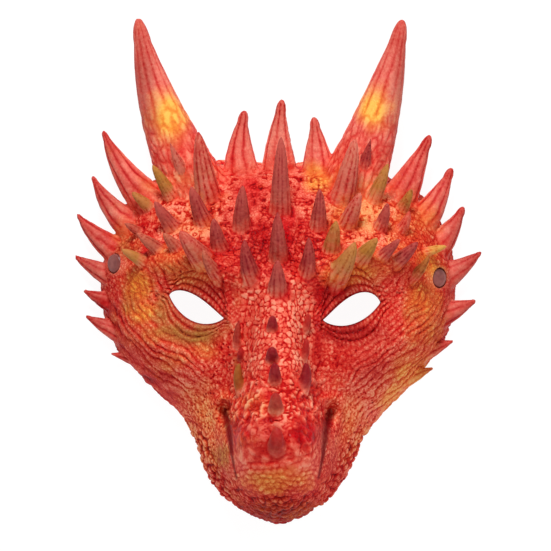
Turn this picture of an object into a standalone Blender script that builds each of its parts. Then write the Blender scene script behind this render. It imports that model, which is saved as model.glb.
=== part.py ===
# Dragon mask that lies face up on its back rim: one moulded foam shell and two strap rivets.
# Metres, +Z up. X is across the face, +Y runs from the chin to the horns, +Z leaves the face.
# The carving is a free form, so it is drawn in carving units, of which the mask is 280 high.

import bmesh
import bpy
import numpy as np
from math import cos, pi, sin
from mathutils import Matrix, Vector

# Driving sizes
MASK_HEIGHT = 0.280             # chin to horn tips
FOAM_WALL = 0.0055              # thickness of the moulded foam
RIVET_HEAD_DIAMETER = 0.0105
RIVET_HEAD_THICKNESS = 0.0018
RIVET_SHANK_DIAMETER = 0.0042
RIVET_FLANGE_DIAMETER = 0.0090  # clinched end inside the mask
RIVET_FLANGE_THICKNESS = 0.0014
RIVET_GRIP = 0.0040             # foam left between the two rivet seats
RIVET_SEAT_DEPTH = 0.0008       # how far the outer seat is let into the skin
SEAT_GAP = 0.0003               # between a rivet and its seats
SHANK_CLEARANCE = 0.0003        # round the shank, on the radius
SEAT_CLEARANCE = 0.0006         # round the head and the flange, on the radius
RIVET_CROWN = [(0.0, 0.0), (0.62, 0.0001), (0.9, 0.0004)]  # share of the radius, drop from the middle
RIVET_HEAD_EDGE = 0.0007        # height of the straight edge of the head
RIVET_ROOM_ABOVE = 0.012        # how far the rivet's room is cut on outside the skin
RIVET_ROOM_BELOW = 0.006        # and inside the mask
RIVET_SEGMENTS = 16
RIVET_SHARP_ANGLE = 0.6         # edges sharper than this stay crisp, in radians

# How finely the free form is turned into facets
FORM_CELLS = 96                 # grid cells across the face before meshing
MESH_VOXEL = 0.0013             # first even mesh of face and spikes together
OUTER_TRIANGLES = 7000          # facets left on the carved outside
CAVITY_CELLS = 60               # grid cells across the inside before thinning
CAVITY_TRIANGLES = 1500         # facets left on the plain inside
SMALLEST_EDGE = 0.0001          # points closer than this are merged
GRID_CROWDING = 0.85            # under one, the grid's rows lie closer together at the rim
SLOPE_STEP = 0.25               # step over which the skin's slope is measured

UNIT = MASK_HEIGHT / 280.0      # metres in one carving unit
RIM_LEVEL = 0.0                 # the flat back rim that the mask lies on

# Outline of the back rim round the face, clockwise from the top, without the fringe of spikes
RIM_POINTS = [
    (2, 60), (14, 61), (28, 63), (44, 60), (61, 53), (73, 48), (82, 41), (92, 26), (98, 8),
    (99, -14), (94, -36), (84, -51), (74.5, -63), (63.5, -74), (54, -84.5), (46.5, -97), (41, -110),
    (36, -118.5), (28, -127.5), (18.5, -134), (10, -138), (1, -140.3), (-9, -138), (-18, -134),
    (-27.5, -127.5), (-36.5, -119), (-41, -110), (-45.5, -97), (-49.5, -87), (-56, -77), (-66, -68.5),
    (-76, -58.5), (-89, -44), (-96, -26), (-98.5, -11), (-97, 5), (-90, 22), (-83, 36), (-74, 47),
    (-62, 55), (-47, 61), (-30, 62), (-14, 61),
]
FACE_CENTRE = (0.0, -30.0)      # the rim is seen whole from here

# Broad forms
DOME_HEIGHT = 60.0
DOME_ROUNDNESS = 0.6
RIM_ROUNDING = 40               # the higher, the later the skin turns down to the rim
SKIRT_DROP = 9.0                # how far the forms run on below the rim before it is cut flat
CAVITY_DROP = 13.0              # how far the space behind runs on, to come out below the forms
MUZZLE_TOP = [(60, 22), (40, 36), (20, 51), (0, 60), (-20, 67), (-40, 76), (-60, 86), (-78, 95),
              (-92, 99), (-104, 97), (-116, 91), (-128, 84), (-142, 76)]
MUZZLE_HALF_WIDTH = [(60, 12), (30, 14), (0, 16), (-30, 18), (-55, 20), (-75, 25), (-90, 28),
                     (-105, 27), (-118, 24), (-130, 20), (-142, 14)]
MUZZLE_SPREAD = 1.35            # the muzzle's foot over its half width
MUZZLE_SQUARENESS = 3           # the higher, the flatter the muzzle's top and the steeper its sides
MUZZLE_CHIN = 12                # the higher, the later the muzzle falls to the chin
MUZZLE_BLEND = 9.0
RIDGE_FADE = 0.25               # share of a ridge's length over which it fades at each end
RIDGE_LEFT = 0.35               # share of its height that is left there
RIDGE_EDGE = 8                  # the higher, the nearer the rim a ridge runs
BROW_LINE = [(13, -4), (30, 2), (50, 7), (70, 6), (86, -1)]
BROW_HEIGHT = 9.0
BROW_WIDTH = 9.0
CHEEK_LINE = [(92, -22), (72, -40), (50, -52), (34, -66)]
CHEEK_HEIGHT = 4.5
CHEEK_WIDTH = 11.0
JAW_LINE = [(60, -66), (46, -84), (38, -104), (27, -119)]
JAW_HEIGHT = 5.0
JAW_WIDTH = 7.0
SOCKET_DEPTH = 9.0
SOCKET_LENGTH = 25.0
SOCKET_HEIGHT = 14.0
NOSTRIL_LINE = [(29, -76), (26.5, -88), (25, -100), (22.5, -113)]
NOSTRIL_DEPTH = 7.5
NOSTRIL_SHALLOWING = 0.45       # share of the depth lost towards the chin
NOSTRIL_WIDTH = 2.6
NOSTRIL_LIP = 3.0
LIP_SHALLOWING = 0.5
LIP_PLACE = 2.4                 # the lip's distance from the slit over the slit's width

# Eye holes: outer corner, inner corner, rise of the upper lid, drop of the lower lid
EYES = {
    "left": ((-59.5, -13.0), (-29.5, -25.5), 5.6, 8.2),
    "right": ((56.5, -17.0), (25.0, -26.5), 8.4, 7.0),
}
UPPER_LID = (0.55, 1.2)         # how the lid leaves its outer corner and reaches its inner one
LOWER_LID = (0.9, 0.75)
EYE_POINTS = 20
EYE_CUT = (20.0, 90.0)          # heights between which the eye holes are cut
LID_FOLDS = (1.45, 2.0, 2.6)    # rings round the eye hole, as multiples of its size
LID_FOLD_HEIGHT = 1.6
LID_FOLD_WIDTH = 0.16

# Strap rivets: place on the skin, and the slope of the flat patch round each
RIVET_PLACES = {"left": (-90.0, 4.5), "right": (89.0, -3.5)}
RIVET_PATCH_RADIUS = 10.0
RIVET_PATCH_SLOPE = 0.85
RIVET_PATCH_HEIGHT = 20.0

# Spikes: foot x, y, tip x, y, width at the foot, rise of the tip above the foot's skin
CROWN_SPIKES = [
    (1.5, 33, 2, 74, 11, 12), (0.5, 7, 0, 32.5, 10, 13), (0, -11, 0, 6.5, 10, 10),
    (-20, 24, -19, 47.5, 9.5, 12), (-32, 12.5, -35, 29, 9.5, 11), (-15, -3.5, -18, 17.5, 10, 11),
    (-41, 27.5, -47.5, 47, 9.5, 11), (-38.5, 41.5, -43.5, 77, 13, 14), (-58.5, 41.5, -69, 59, 8, 9),
    (-58.5, 24.5, -67.5, 39, 8.5, 9), (-71, 35.5, -80.5, 44, 7, 6),
    (-76, 21.5, -84.5, 27, 5.5, 5), (-65.5, 12, -77.5, 21.5, 7.5, 7), (-55.5, 12.5, -62.5, 21.5, 7.5, 7),
    (-42, 7, -53.5, 22.5, 12, 11), (-34, -2.5, -41, 12.5, 7.5, 9), (-74, 5.5, -86, 12.5, 7, 5),
    (22.5, 24.5, 23, 45.5, 9, 12), (29.5, 11.5, 32, 28, 9.5, 11), (16.5, -1, 17, 19, 9, 11),
    (38.5, 26, 45.5, 43.5, 10, 11), (36, 39.5, 42.5, 73, 13, 14),
    (53, 39.5, 61, 59.5, 8.5, 9), (57, 24, 60.5, 38, 7.5, 8), (69, 34.5, 74, 45.5, 7, 6),
    (69, 22.5, 72.5, 33.5, 6.5, 6), (45.5, 7, 54.5, 18.5, 9.5, 9), (33.5, -3, 42.5, 16.5, 12, 12),
    (57.5, 8, 67, 18, 7, 7), (66.5, 5.5, 77, 16.5, 8, 7), (75, -4, 83.5, 9.5, 6, 5),
    (81.5, 10.5, 93.5, 14, 5.5, 3),
]
NOSE_SPIKES = [
    (-3, -31.5, -2.5, -24, 6, 5), (-3, -48, -3, -41, 7, 5), (-1.5, -60, -1.5, -49.5, 7, 6),
    (-1, -75.5, -1, -65.5, 8, 6), (-0.5, -97.5, -0.5, -84, 9.5, 7), (-22.5, -41.5, -21, -26.5, 4.5, 4),
    (-20.5, -48, -19.5, -41.5, 4.5, 4), (-21, -66, -20.5, -50, 6, 6), (15.5, -33, 16.5, -22.5, 4.5, 4),
    (14.5, -49, 15, -36, 5, 5), (15, -64.5, 15, -49.5, 7, 6),
]
# Fringe: foot x, y, tip x, y, width, height of foot, height of tip, bow as a share of the length
FRINGE_SPIKES = [
    (-71, 40, -96.5, 78, 19, 13, 16, 0.12), (-82, 27, -102.5, 53, 15.5, 11, 13, 0.13),
    (-88, 12, -111, 32, 15.5, 9, 10, 0.12), (-90, -2.5, -113, 9, 13.5, 7, 8, 0.08),
    (-88, -18, -107.5, -10.5, 13.5, 7, 8, 0.06), (-84, -34.5, -106.5, -24.5, 13.5, 7, 7, 0.06),
    (-75, -49, -92.5, -45.5, 10, 6, 6, 0.0),
    (67, 40, 84.5, 75.5, 19, 13, 16, -0.02), (81, 30, 96.5, 57.5, 16.5, 11, 13, -0.08),
    (89, 16, 103, 36, 15.5, 9, 10, -0.1), (91, -3, 113, 11, 16, 7, 8, -0.08),
    (89, -24, 110, -16, 16, 7, 8, -0.04), (82, -44, 97.5, -38.5, 12, 6, 6, 0.0),
    (72, -59, 86.5, -53.5, 10, 6, 6, 0.0),
    (-19, 54, -18, 89, 19, 13, 21, 0.1), (1.5, 54, 2.5, 95, 19, 13, 22, 0.05),
    (22.5, 55, 20, 85.5, 18, 13, 20, -0.02),
    (-52.5, 55, -59.5, 71.5, 7, 28, 38, 0.0), (48, 60, 51.5, 73, 7, 29, 37, 0.0),
]
HORNS = [
    (-43, 42, -77, 140.3, 38, 15, 24, 0.09),
    (39, 42, 69, 139.5, 38, 15, 24, -0.05),
]
TAPER = 0.78                    # how full a spike stays towards its tip
CROWN_SINK = 0.35               # how deep a spike's foot is sunk, over its width
CROWN_LEAN = 0.22               # how far a spike first grows straight out of the skin, over its length
CROWN_FULLNESS = 1.25           # a sunk foot is wider than what shows of it
FRINGE_FULLNESS = 1.22
FRINGE_SINK = 5.0
HORN_TAPER = 0.68
BLUNT_TIP = 0.07                # radius of a spike's tip, as a share of its foot
SPIKE_SIDES = 14
SPIKE_RINGS = 7
SPIKE_FLATNESS = 0.85           # thickness over width
SPIKE_FLUTES = 7
SPIKE_FLUTE_DEPTH = 0.05


def clear_scene():
    for item in list(bpy.data.objects):
        bpy.data.objects.remove(item, do_unlink=True)


def smooth_curve(points):
    """Cubic curve through a few points, as a function of their first value."""
    table = np.array(sorted(points), dtype=float)
    knots, values = table[:, 0], table[:, 1]
    slopes = np.gradient(values, knots)

    def at(place):
        place = np.clip(place, knots[0], knots[-1])
        i = np.clip(np.searchsorted(knots, place) - 1, 0, len(knots) - 2)
        step = knots[i + 1] - knots[i]
        s = (place - knots[i]) / step
        return ((1 + 2 * s) * (1 - s) ** 2 * values[i] + s * (1 - s) ** 2 * step * slopes[i]
                + s * s * (3 - 2 * s) * values[i + 1] - s * s * (1 - s) * step * slopes[i + 1])

    return at


def rim_curve():
    """Distance from the face's centre to the rim, as a function of the angle."""
    rim = np.array(RIM_POINTS) - np.array(FACE_CENTRE)
    angles = np.arctan2(rim[:, 1], rim[:, 0])
    reach = np.hypot(rim[:, 0], rim[:, 1])
    turns = [(a + turn, r) for turn in (-2 * pi, 0, 2 * pi) for a, r in zip(angles, reach)]
    return smooth_curve(turns)


rim_reach = rim_curve()
muzzle_top = smooth_curve(MUZZLE_TOP)
muzzle_half_width = smooth_curve(MUZZLE_HALF_WIDTH)


def distance_to_line(x, y, line):
    """Distance to a broken line, and the share of its length where it is nearest."""
    nearest = np.full(np.shape(x), 1e9)
    share = np.zeros(np.shape(x))
    for i, (a, b) in enumerate(zip(line[:-1], line[1:])):
        run_x, run_y = b[0] - a[0], b[1] - a[1]
        along = ((x - a[0]) * run_x + (y - a[1]) * run_y) / (run_x ** 2 + run_y ** 2)
        along = np.clip(along, 0, 1)
        gap = np.hypot(x - a[0] - along * run_x, y - a[1] - along * run_y)
        share = np.where(gap < nearest, (i + along) / (len(line) - 1), share)
        nearest = np.minimum(gap, nearest)
    return nearest, share


def ridge(x, y, line, width):
    """One along both mirrored copies of a line, fading across it and towards its ends."""
    gap, share = distance_to_line(np.abs(x), y, line)
    fade = np.clip(np.minimum(share, 1 - share) / RIDGE_FADE, 0, 1)
    return np.exp(-(gap / width) ** 2) * (RIDGE_LEFT + (1 - RIDGE_LEFT) * fade)


def eye_size(x, y, eye):
    """Zero in the middle of an eye hole, one on its edge, and more outside."""
    outer, inner, upper, lower = eye
    run_x, run_y = inner[0] - outer[0], inner[1] - outer[1]
    length = np.hypot(run_x, run_y)
    t = ((x - outer[0]) * run_x + (y - outer[1]) * run_y) / length ** 2
    up = ((y - outer[1]) * run_x - (x - outer[0]) * run_y) / length * np.sign(run_x)
    middle = np.abs(t - 0.5) * 2
    reach = np.where(up > 0, upper, lower)
    return np.sqrt(middle ** 2 + (np.abs(up) / reach) ** 2)


def eye_outline(eye):
    """Points round an eye hole: an almond whose lids peak at their own places."""
    outer, inner, upper, lower = (np.array(part) for part in eye)
    run = inner - outer
    length = np.hypot(*run)
    side = np.array((-run[1], run[0])) / length * np.sign(run[0])

    def lid(t, rise, fall):
        peak = rise / (rise + fall)
        return t ** rise * (1 - t) ** fall / (peak ** rise * (1 - peak) ** fall)

    points = []
    for i in range(EYE_POINTS):
        turn = 2 * pi * i / EYE_POINTS
        t = 0.5 - 0.5 * cos(turn)
        if turn < pi:
            points.append(outer + run * t + side * upper * lid(t, *UPPER_LID))
        else:
            points.append(outer + run * t - side * lower * lid(t, *LOWER_LID))
    return points


def rim_share(x, y, inset=0.0):
    """Zero at the face's centre and one on the rim, or on a line set in from the rim."""
    from_x, from_y = x - FACE_CENTRE[0], y - FACE_CENTRE[1]
    return np.clip(np.hypot(from_x, from_y) / (rim_reach(np.arctan2(from_y, from_x)) - inset), 0, 1)


def broad_height(x, y, inset=0.0):
    """Height of the broad forms: dome, muzzle, eye sockets and the flat rivet patches.

    With an inset it gives the inner surface of a wall of that thickness.
    """
    share = rim_share(x, y, inset)
    dome = (DOME_HEIGHT - inset) * (1 - share ** 2) ** DOME_ROUNDNESS
    across = np.abs(x) / (MUZZLE_SPREAD * muzzle_half_width(y) - inset)
    muzzle = (muzzle_top(y) - inset) * (1 - across ** MUZZLE_SQUARENESS)
    muzzle = muzzle * (1 - share ** MUZZLE_CHIN) ** 0.5
    height = 0.5 * (dome + muzzle + np.sqrt((dome - muzzle) ** 2 + MUZZLE_BLEND ** 2))
    height = height * (1 - share ** RIM_ROUNDING) ** 0.5
    for outer, inner, _, _ in EYES.values():
        centre_x, centre_y = 0.5 * (outer[0] + inner[0]), 0.5 * (outer[1] + inner[1])
        near = ((x - centre_x) / SOCKET_LENGTH) ** 2 + ((y - centre_y) / SOCKET_HEIGHT) ** 2
        height = height - SOCKET_DEPTH * np.exp(-near)
    for place_x, place_y in RIVET_PLACES.values():
        gap = np.hypot(x - place_x, y - place_y) / RIVET_PATCH_RADIUS
        outwards = (x - place_x) * np.sign(place_x)
        patch = RIVET_PATCH_HEIGHT - RIVET_PATCH_SLOPE * outwards - inset * np.hypot(1, RIVET_PATCH_SLOPE)
        blend = np.exp(-gap ** 4) * (1 - share ** RIM_ROUNDING)
        height = height * (1 - blend) + patch * blend
    return height


def nostril_slit(x, y):
    """Depth of the two nostril slits, and the raised lips beside them."""
    gap, along = distance_to_line(np.abs(x), y, NOSTRIL_LINE)
    slit = NOSTRIL_DEPTH * (1 - NOSTRIL_SHALLOWING * along) * np.exp(-(gap / NOSTRIL_WIDTH) ** 2)
    beside = gap / NOSTRIL_WIDTH - LIP_PLACE
    return slit, NOSTRIL_LIP * (1 - LIP_SHALLOWING * along) * np.exp(-beside ** 2)


def carved_height(x, y):
    """Broad forms with brows, cheeks, jaw, lid folds and nostrils."""
    inside = (1 - rim_share(x, y) ** RIDGE_EDGE) ** 0.5
    height = broad_height(x, y)
    height = height + BROW_HEIGHT * ridge(x, y, BROW_LINE, BROW_WIDTH) * inside
    height = height + CHEEK_HEIGHT * ridge(x, y, CHEEK_LINE, CHEEK_WIDTH) * inside
    height = height + JAW_HEIGHT * ridge(x, y, JAW_LINE, JAW_WIDTH) * inside
    slit, lip = nostril_slit(x, y)
    height = height - slit + lip
    for eye in EYES.values():
        size = eye_size(x, y, eye)
        for fold in LID_FOLDS:
            height = height + LID_FOLD_HEIGHT * np.exp(-((size - fold) / LID_FOLD_WIDTH) ** 2)
    return height


def skin_normal(x, y):
    """Outward direction of the broad skin at one place."""
    step = SLOPE_STEP
    slope_x = (broad_height(x + step, y) - broad_height(x - step, y)) / (2 * step)
    slope_y = (broad_height(x, y + step) - broad_height(x, y - step)) / (2 * step)
    return Vector((-float(slope_x), -float(slope_y), 1.0)).normalized()


def form_grid(height, cells, inset=0.0):
    """Square grid laid over the face as far as the rim, raised by a height function."""
    bm = bmesh.new()
    bmesh.ops.create_grid(bm, x_segments=int(cells), y_segments=int(cells), size=1.0)
    flat = np.array([v.co[:2] for v in bm.verts])
    u = flat[:, 0] * np.sqrt(1 - flat[:, 1] ** 2 / 2)
    v = flat[:, 1] * np.sqrt(1 - flat[:, 0] ** 2 / 2)
    turn = np.arctan2(v, u)
    spread = np.sin(np.clip(np.hypot(u, v), 0, 1) * pi / 2) ** GRID_CROWDING
    reach = spread * (rim_reach(turn) - inset)
    x = FACE_CENTRE[0] + reach * np.cos(turn)
    y = FACE_CENTRE[1] + reach * np.sin(turn)
    for vert, place in zip(bm.verts, np.column_stack((x, y, height(x, y)))):
        vert.co = place * UNIT
    for vert in bm.verts:
        if vert.is_boundary:
            vert.co.z = 0.0
    return bm


def close_below(bm, drop):
    """Runs the rim straight down and closes the body underneath."""
    rim = [edge for edge in bm.edges if edge.is_boundary]
    skirt = bmesh.ops.extrude_edge_only(bm, edges=rim)["geom"]
    lower = [item for item in skirt if isinstance(item, bmesh.types.BMVert)]
    bmesh.ops.translate(bm, verts=lower, vec=(0, 0, -drop * UNIT))
    ring = [item for item in skirt if isinstance(item, bmesh.types.BMEdge) and item.is_boundary]
    bmesh.ops.edgeloop_fill(bm, edges=ring)
    bmesh.ops.triangulate(bm, faces=[face for face in bm.faces if len(face.verts) > 4])
    bmesh.ops.recalc_face_normals(bm, faces=bm.faces)


def spike_template():
    """Straight cone of unit radius and height, whose points are then moved onto each spike."""
    bm = bmesh.new()
    bmesh.ops.create_cone(bm, cap_ends=True, cap_tris=True, segments=int(SPIKE_SIDES),
                          radius1=1.0, radius2=1.0, depth=1.0)
    sides = [edge for edge in bm.edges if abs(edge.verts[0].co.z - edge.verts[1].co.z) > 0.5]
    bmesh.ops.subdivide_edges(bm, edges=sides, cuts=int(SPIKE_RINGS), use_grid_fill=True)
    mesh = bpy.data.meshes.new("spike template")
    bm.to_mesh(mesh)
    bm.free()
    return mesh


def add_spike(bm, template, foot, tip, width, taper, bow=0.0, lean=(0, 0, 0)):
    """Curved fluted cone from a sunk foot to a blunt tip; lean is the way it first grows."""
    flat = np.array([vert.co for vert in template.vertices])
    t = flat[:, 2] + 0.5
    turn = np.arctan2(flat[:, 1], flat[:, 0])
    spread = np.hypot(flat[:, 0], flat[:, 1])
    foot, tip, lean = np.array(foot), np.array(tip), np.array(lean)
    run = tip - foot
    length = np.linalg.norm(run)
    across = np.cross((0, 0, 1), run)
    across = across / np.linalg.norm(across)
    middle = foot + run * 0.5 + across * bow * length + lean * CROWN_LEAN * length
    share = t[:, None]
    centre = foot * (1 - share) ** 2 + middle * 2 * share * (1 - share) + tip * share ** 2
    along = (middle - foot) * (1 - share) + (tip - middle) * share
    along = along / np.linalg.norm(along, axis=1)[:, None]
    side = np.cross((0, 0, 1), along)
    side = side / np.linalg.norm(side, axis=1)[:, None]
    thick = np.cross(along, side)
    radius = width / 2 * np.maximum(BLUNT_TIP, (1 - t) ** taper)
    radius = radius * (1 + SPIKE_FLUTE_DEPTH * np.cos(SPIKE_FLUTES * turn)) * spread
    placed = centre + side * (radius * np.cos(turn))[:, None]
    placed = placed + thick * (radius * SPIKE_FLATNESS * np.sin(turn))[:, None]
    copy = template.copy()
    copy.vertices.foreach_set("co", placed.ravel())
    bm.from_mesh(copy)
    bpy.data.meshes.remove(copy)


def spike_body():
    """All spikes and horns as overlapping cones, to be fused with the face."""
    bm = bmesh.new()
    template = spike_template()
    for foot_x, foot_y, tip_x, tip_y, width, rise in CROWN_SPIKES + NOSE_SPIKES:
        skin = float(carved_height(np.array(foot_x), np.array(foot_y)))
        normal = skin_normal(foot_x, foot_y)
        foot = (Vector((foot_x, foot_y, skin)) - normal * (CROWN_SINK * width)) * UNIT
        tip = Vector((tip_x, tip_y, skin + rise)) * UNIT
        add_spike(bm, template, foot, tip, width * CROWN_FULLNESS * UNIT, TAPER, lean=normal)
    for foot_x, foot_y, tip_x, tip_y, width, foot_z, tip_z, bow in FRINGE_SPIKES:
        foot, tip = Vector((foot_x, foot_y, foot_z)) * UNIT, Vector((tip_x, tip_y, tip_z)) * UNIT
        foot -= (tip - foot).normalized() * (FRINGE_SINK * UNIT)
        add_spike(bm, template, foot, tip, width * FRINGE_FULLNESS * UNIT, TAPER, bow)
    for foot_x, foot_y, tip_x, tip_y, width, foot_z, tip_z, bow in HORNS:
        foot, tip = Vector((foot_x, foot_y, foot_z)) * UNIT, Vector((tip_x, tip_y, tip_z)) * UNIT
        add_spike(bm, template, foot, tip, width * UNIT, HORN_TAPER, bow)
    bmesh.ops.recalc_face_normals(bm, faces=bm.faces)
    return bm


def make_object(name, bm, material=None, cutter=False):
    mesh = bpy.data.meshes.new(name)
    bm.to_mesh(mesh)
    bm.free()
    item = bpy.data.objects.new(name, mesh)
    bpy.context.scene.collection.objects.link(item)
    if material:
        mesh.materials.append(material)
    if cutter:
        item.hide_render = True
        item.display_type = "WIRE"
    return item


def applied(item):
    """Replaces an object's mesh by the one that its modifiers give."""
    graph = bpy.context.evaluated_depsgraph_get()
    mesh = bpy.data.meshes.new_from_object(item.evaluated_get(graph), depsgraph=graph)
    item.modifiers.clear()
    item.data = mesh


def cut_with(item, cutter):
    """Takes one body off another; the EXACT solver loses most of this carved body, MANIFOLD doesn't."""
    cut = item.modifiers.new("cut by " + cutter.name, "BOOLEAN")
    cut.operation = "DIFFERENCE"
    cut.solver = "MANIFOLD"
    cut.object = cutter


def without_slivers(item):
    """Applies the cuts and merges points that they left closer together than the mesh needs."""
    applied(item)
    bm = bmesh.new()
    bm.from_mesh(item.data)
    bmesh.ops.triangulate(bm, faces=bm.faces)
    bmesh.ops.remove_doubles(bm, verts=bm.verts, dist=SMALLEST_EDGE)
    bmesh.ops.dissolve_degenerate(bm, edges=bm.edges, dist=SMALLEST_EDGE / 10)
    bmesh.ops.triangulate(bm, faces=bm.faces)
    bm.to_mesh(item.data)
    bm.free()


def make_material(name, colour, roughness):
    material = bpy.data.materials.new(name)
    material.use_nodes = True
    shader = material.node_tree.nodes["Principled BSDF"]
    shader.inputs["Base Color"].default_value = (*colour, 1.0)
    shader.inputs["Roughness"].default_value = roughness
    shader.inputs["Metallic"].default_value = 0.0
    return material


def thinned(item, triangles):
    """Merges facets where the form is plain, until about so many triangles are left."""
    thin = item.modifiers.new("thin", "DECIMATE")
    thin.ratio = min(1.0, triangles / sum(len(face.vertices) - 2 for face in item.data.polygons))
    thin.use_collapse_triangulate = True
    applied(item)


def make_outside(material):
    """Face and spikes fused into one even mesh, then thinned to the facets that it needs."""
    bm = form_grid(carved_height, FORM_CELLS)
    close_below(bm, SKIRT_DROP)
    spikes = spike_body()
    loose = bpy.data.meshes.new("spikes")
    spikes.to_mesh(loose)
    spikes.free()
    bm.from_mesh(loose)
    bpy.data.meshes.remove(loose)
    mask = make_object("mask", bm, material)
    fuse = mask.modifiers.new("fuse", "REMESH")
    fuse.mode = "VOXEL"
    fuse.voxel_size = MESH_VOXEL
    applied(mask)
    thinned(mask, OUTER_TRIANGLES)
    cut_flat(mask, RIM_LEVEL)
    return mask


def make_cavity():
    """The space for the wearer's face: the broad forms, set in by the foam's thickness."""
    inset = FOAM_WALL / UNIT
    bm = form_grid(lambda x, y: broad_height(x, y, inset) - nostril_slit(x, y)[0], CAVITY_CELLS, inset)
    close_below(bm, CAVITY_DROP)
    cavity = make_object("cavity", bm, cutter=True)
    thinned(cavity, CAVITY_TRIANGLES)
    return cavity


def cut_flat(item, height):
    """Takes off everything below a level, which leaves one flat face there."""
    bm = bmesh.new()
    bm.from_mesh(item.data)
    whole = bm.verts[:] + bm.edges[:] + bm.faces[:]
    cut = bmesh.ops.bisect_plane(bm, geom=whole, plane_co=(0, 0, height), plane_no=(0, 0, 1),
                                 clear_inner=True)["geom_cut"]
    bmesh.ops.edgeloop_fill(bm, edges=[part for part in cut if isinstance(part, bmesh.types.BMEdge)])
    bmesh.ops.recalc_face_normals(bm, faces=bm.faces)
    bm.to_mesh(item.data)
    bm.free()


def make_eye_cutter(name, eye):
    bm = bmesh.new()
    low, high = EYE_CUT
    verts = [bm.verts.new((x * UNIT, y * UNIT, low * UNIT)) for x, y in eye_outline(eye)]
    lens = bm.faces.new(verts)
    top = bmesh.ops.extrude_face_region(bm, geom=[lens], use_keep_orig=True)["geom"]
    upper = [item for item in top if isinstance(item, bmesh.types.BMVert)]
    bmesh.ops.translate(bm, verts=upper, vec=(0, 0, (high - low) * UNIT))
    bmesh.ops.recalc_face_normals(bm, faces=bm.faces)
    return make_object(name, bm, cutter=True)


def turned(profile):
    """Closed body turned about Z from (radius, height) pairs that start and end on the axis."""
    bm = bmesh.new()
    verts = [bm.verts.new((radius, 0, height)) for radius, height in profile]
    edges = [bm.edges.new(pair) for pair in zip(verts[:-1], verts[1:])]
    bmesh.ops.spin(bm, geom=verts + edges, cent=(0, 0, 0), axis=(0, 0, 1), angle=2 * pi,
                   steps=int(RIVET_SEGMENTS), use_merge=True, use_duplicate=False)
    bmesh.ops.remove_doubles(bm, verts=bm.verts, dist=SMALLEST_EDGE / 10)
    bmesh.ops.recalc_face_normals(bm, faces=bm.faces)
    return bm


def rivet_frame(side):
    """Placement of a rivet: its outer seat at the origin, its axis out of the skin."""
    x, y = RIVET_PLACES[side]
    normal = skin_normal(x, y)
    skin = float(broad_height(np.array(x), np.array(y)))
    seat = Vector((x, y, skin)) * UNIT - normal * RIVET_SEAT_DEPTH
    return Matrix.Translation(seat) @ normal.to_track_quat("Z", "Y").to_matrix().to_4x4()


def make_rivet_cutter(side):
    hole = RIVET_SHANK_DIAMETER / 2 + SHANK_CLEARANCE
    outer = RIVET_HEAD_DIAMETER / 2 + SEAT_CLEARANCE
    inner = RIVET_FLANGE_DIAMETER / 2 + SEAT_CLEARANCE
    above, grip, below = RIVET_ROOM_ABOVE, -RIVET_GRIP, -RIVET_GRIP - RIVET_ROOM_BELOW
    bm = turned([(0, above), (outer, above), (outer, 0), (hole, 0), (hole, grip),
                 (inner, grip), (inner, below), (0, below)])
    bm.transform(rivet_frame(side))
    return make_object("rivet_room_" + side, bm, cutter=True)


def make_rivet(side, material):
    head, shank = RIVET_HEAD_DIAMETER / 2, RIVET_SHANK_DIAMETER / 2
    flange = RIVET_FLANGE_DIAMETER / 2
    under = SEAT_GAP
    crown = under + RIVET_HEAD_THICKNESS
    inside = -RIVET_GRIP - SEAT_GAP
    back = inside - RIVET_FLANGE_THICKNESS
    bm = turned([(head * share, crown - drop) for share, drop in RIVET_CROWN]
                + [(head, under + RIVET_HEAD_EDGE), (head, under), (shank, under), (shank, inside),
                   (flange, inside), (flange, back), (0, back)])
    bm.transform(rivet_frame(side))
    rivet = make_object("strap_rivet_" + side, bm, material)
    rivet.data.shade_smooth()
    rivet.data.set_sharp_from_angle(angle=RIVET_SHARP_ANGLE)
    return rivet


clear_scene()
foam = make_material("painted foam", (0.72, 0.09, 0.05), 0.45)
button = make_material("rivet plastic", (0.22, 0.06, 0.06), 0.4)
mask = make_outside(foam)
cut_with(mask, make_cavity())
for eye_side, eye_shape in EYES.items():
    cut_with(mask, make_eye_cutter("eye_" + eye_side, eye_shape))
for rivet_side in RIVET_PLACES:
    cut_with(mask, make_rivet_cutter(rivet_side))
    make_rivet(rivet_side, button)
without_slivers(mask)
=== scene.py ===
# Dragon mask, lying face up: scaly painted foam skin with horns and spikes, and two strap rivets.
import bmesh
import bpy
import numpy as np
from math import pi
from mathutils import Matrix, Vector
from mathutils.kdtree import KDTree


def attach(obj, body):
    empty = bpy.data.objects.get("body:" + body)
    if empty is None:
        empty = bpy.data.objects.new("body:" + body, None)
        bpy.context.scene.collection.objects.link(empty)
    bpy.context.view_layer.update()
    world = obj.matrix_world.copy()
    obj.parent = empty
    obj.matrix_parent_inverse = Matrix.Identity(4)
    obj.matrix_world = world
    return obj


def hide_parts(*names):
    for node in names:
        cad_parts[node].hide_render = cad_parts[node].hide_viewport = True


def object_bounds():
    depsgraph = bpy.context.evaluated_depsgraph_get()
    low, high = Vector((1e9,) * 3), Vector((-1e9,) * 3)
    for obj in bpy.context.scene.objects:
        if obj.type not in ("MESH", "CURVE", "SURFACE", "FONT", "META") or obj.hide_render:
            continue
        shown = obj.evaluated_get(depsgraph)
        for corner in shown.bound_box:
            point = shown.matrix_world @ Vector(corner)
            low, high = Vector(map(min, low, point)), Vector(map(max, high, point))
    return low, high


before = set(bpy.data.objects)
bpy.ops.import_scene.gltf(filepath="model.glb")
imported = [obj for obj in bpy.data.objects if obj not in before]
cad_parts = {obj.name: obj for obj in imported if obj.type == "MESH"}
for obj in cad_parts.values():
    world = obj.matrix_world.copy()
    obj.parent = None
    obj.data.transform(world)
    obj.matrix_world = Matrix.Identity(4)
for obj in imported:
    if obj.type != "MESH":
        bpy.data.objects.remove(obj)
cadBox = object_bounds()
print("frame loaded")

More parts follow.
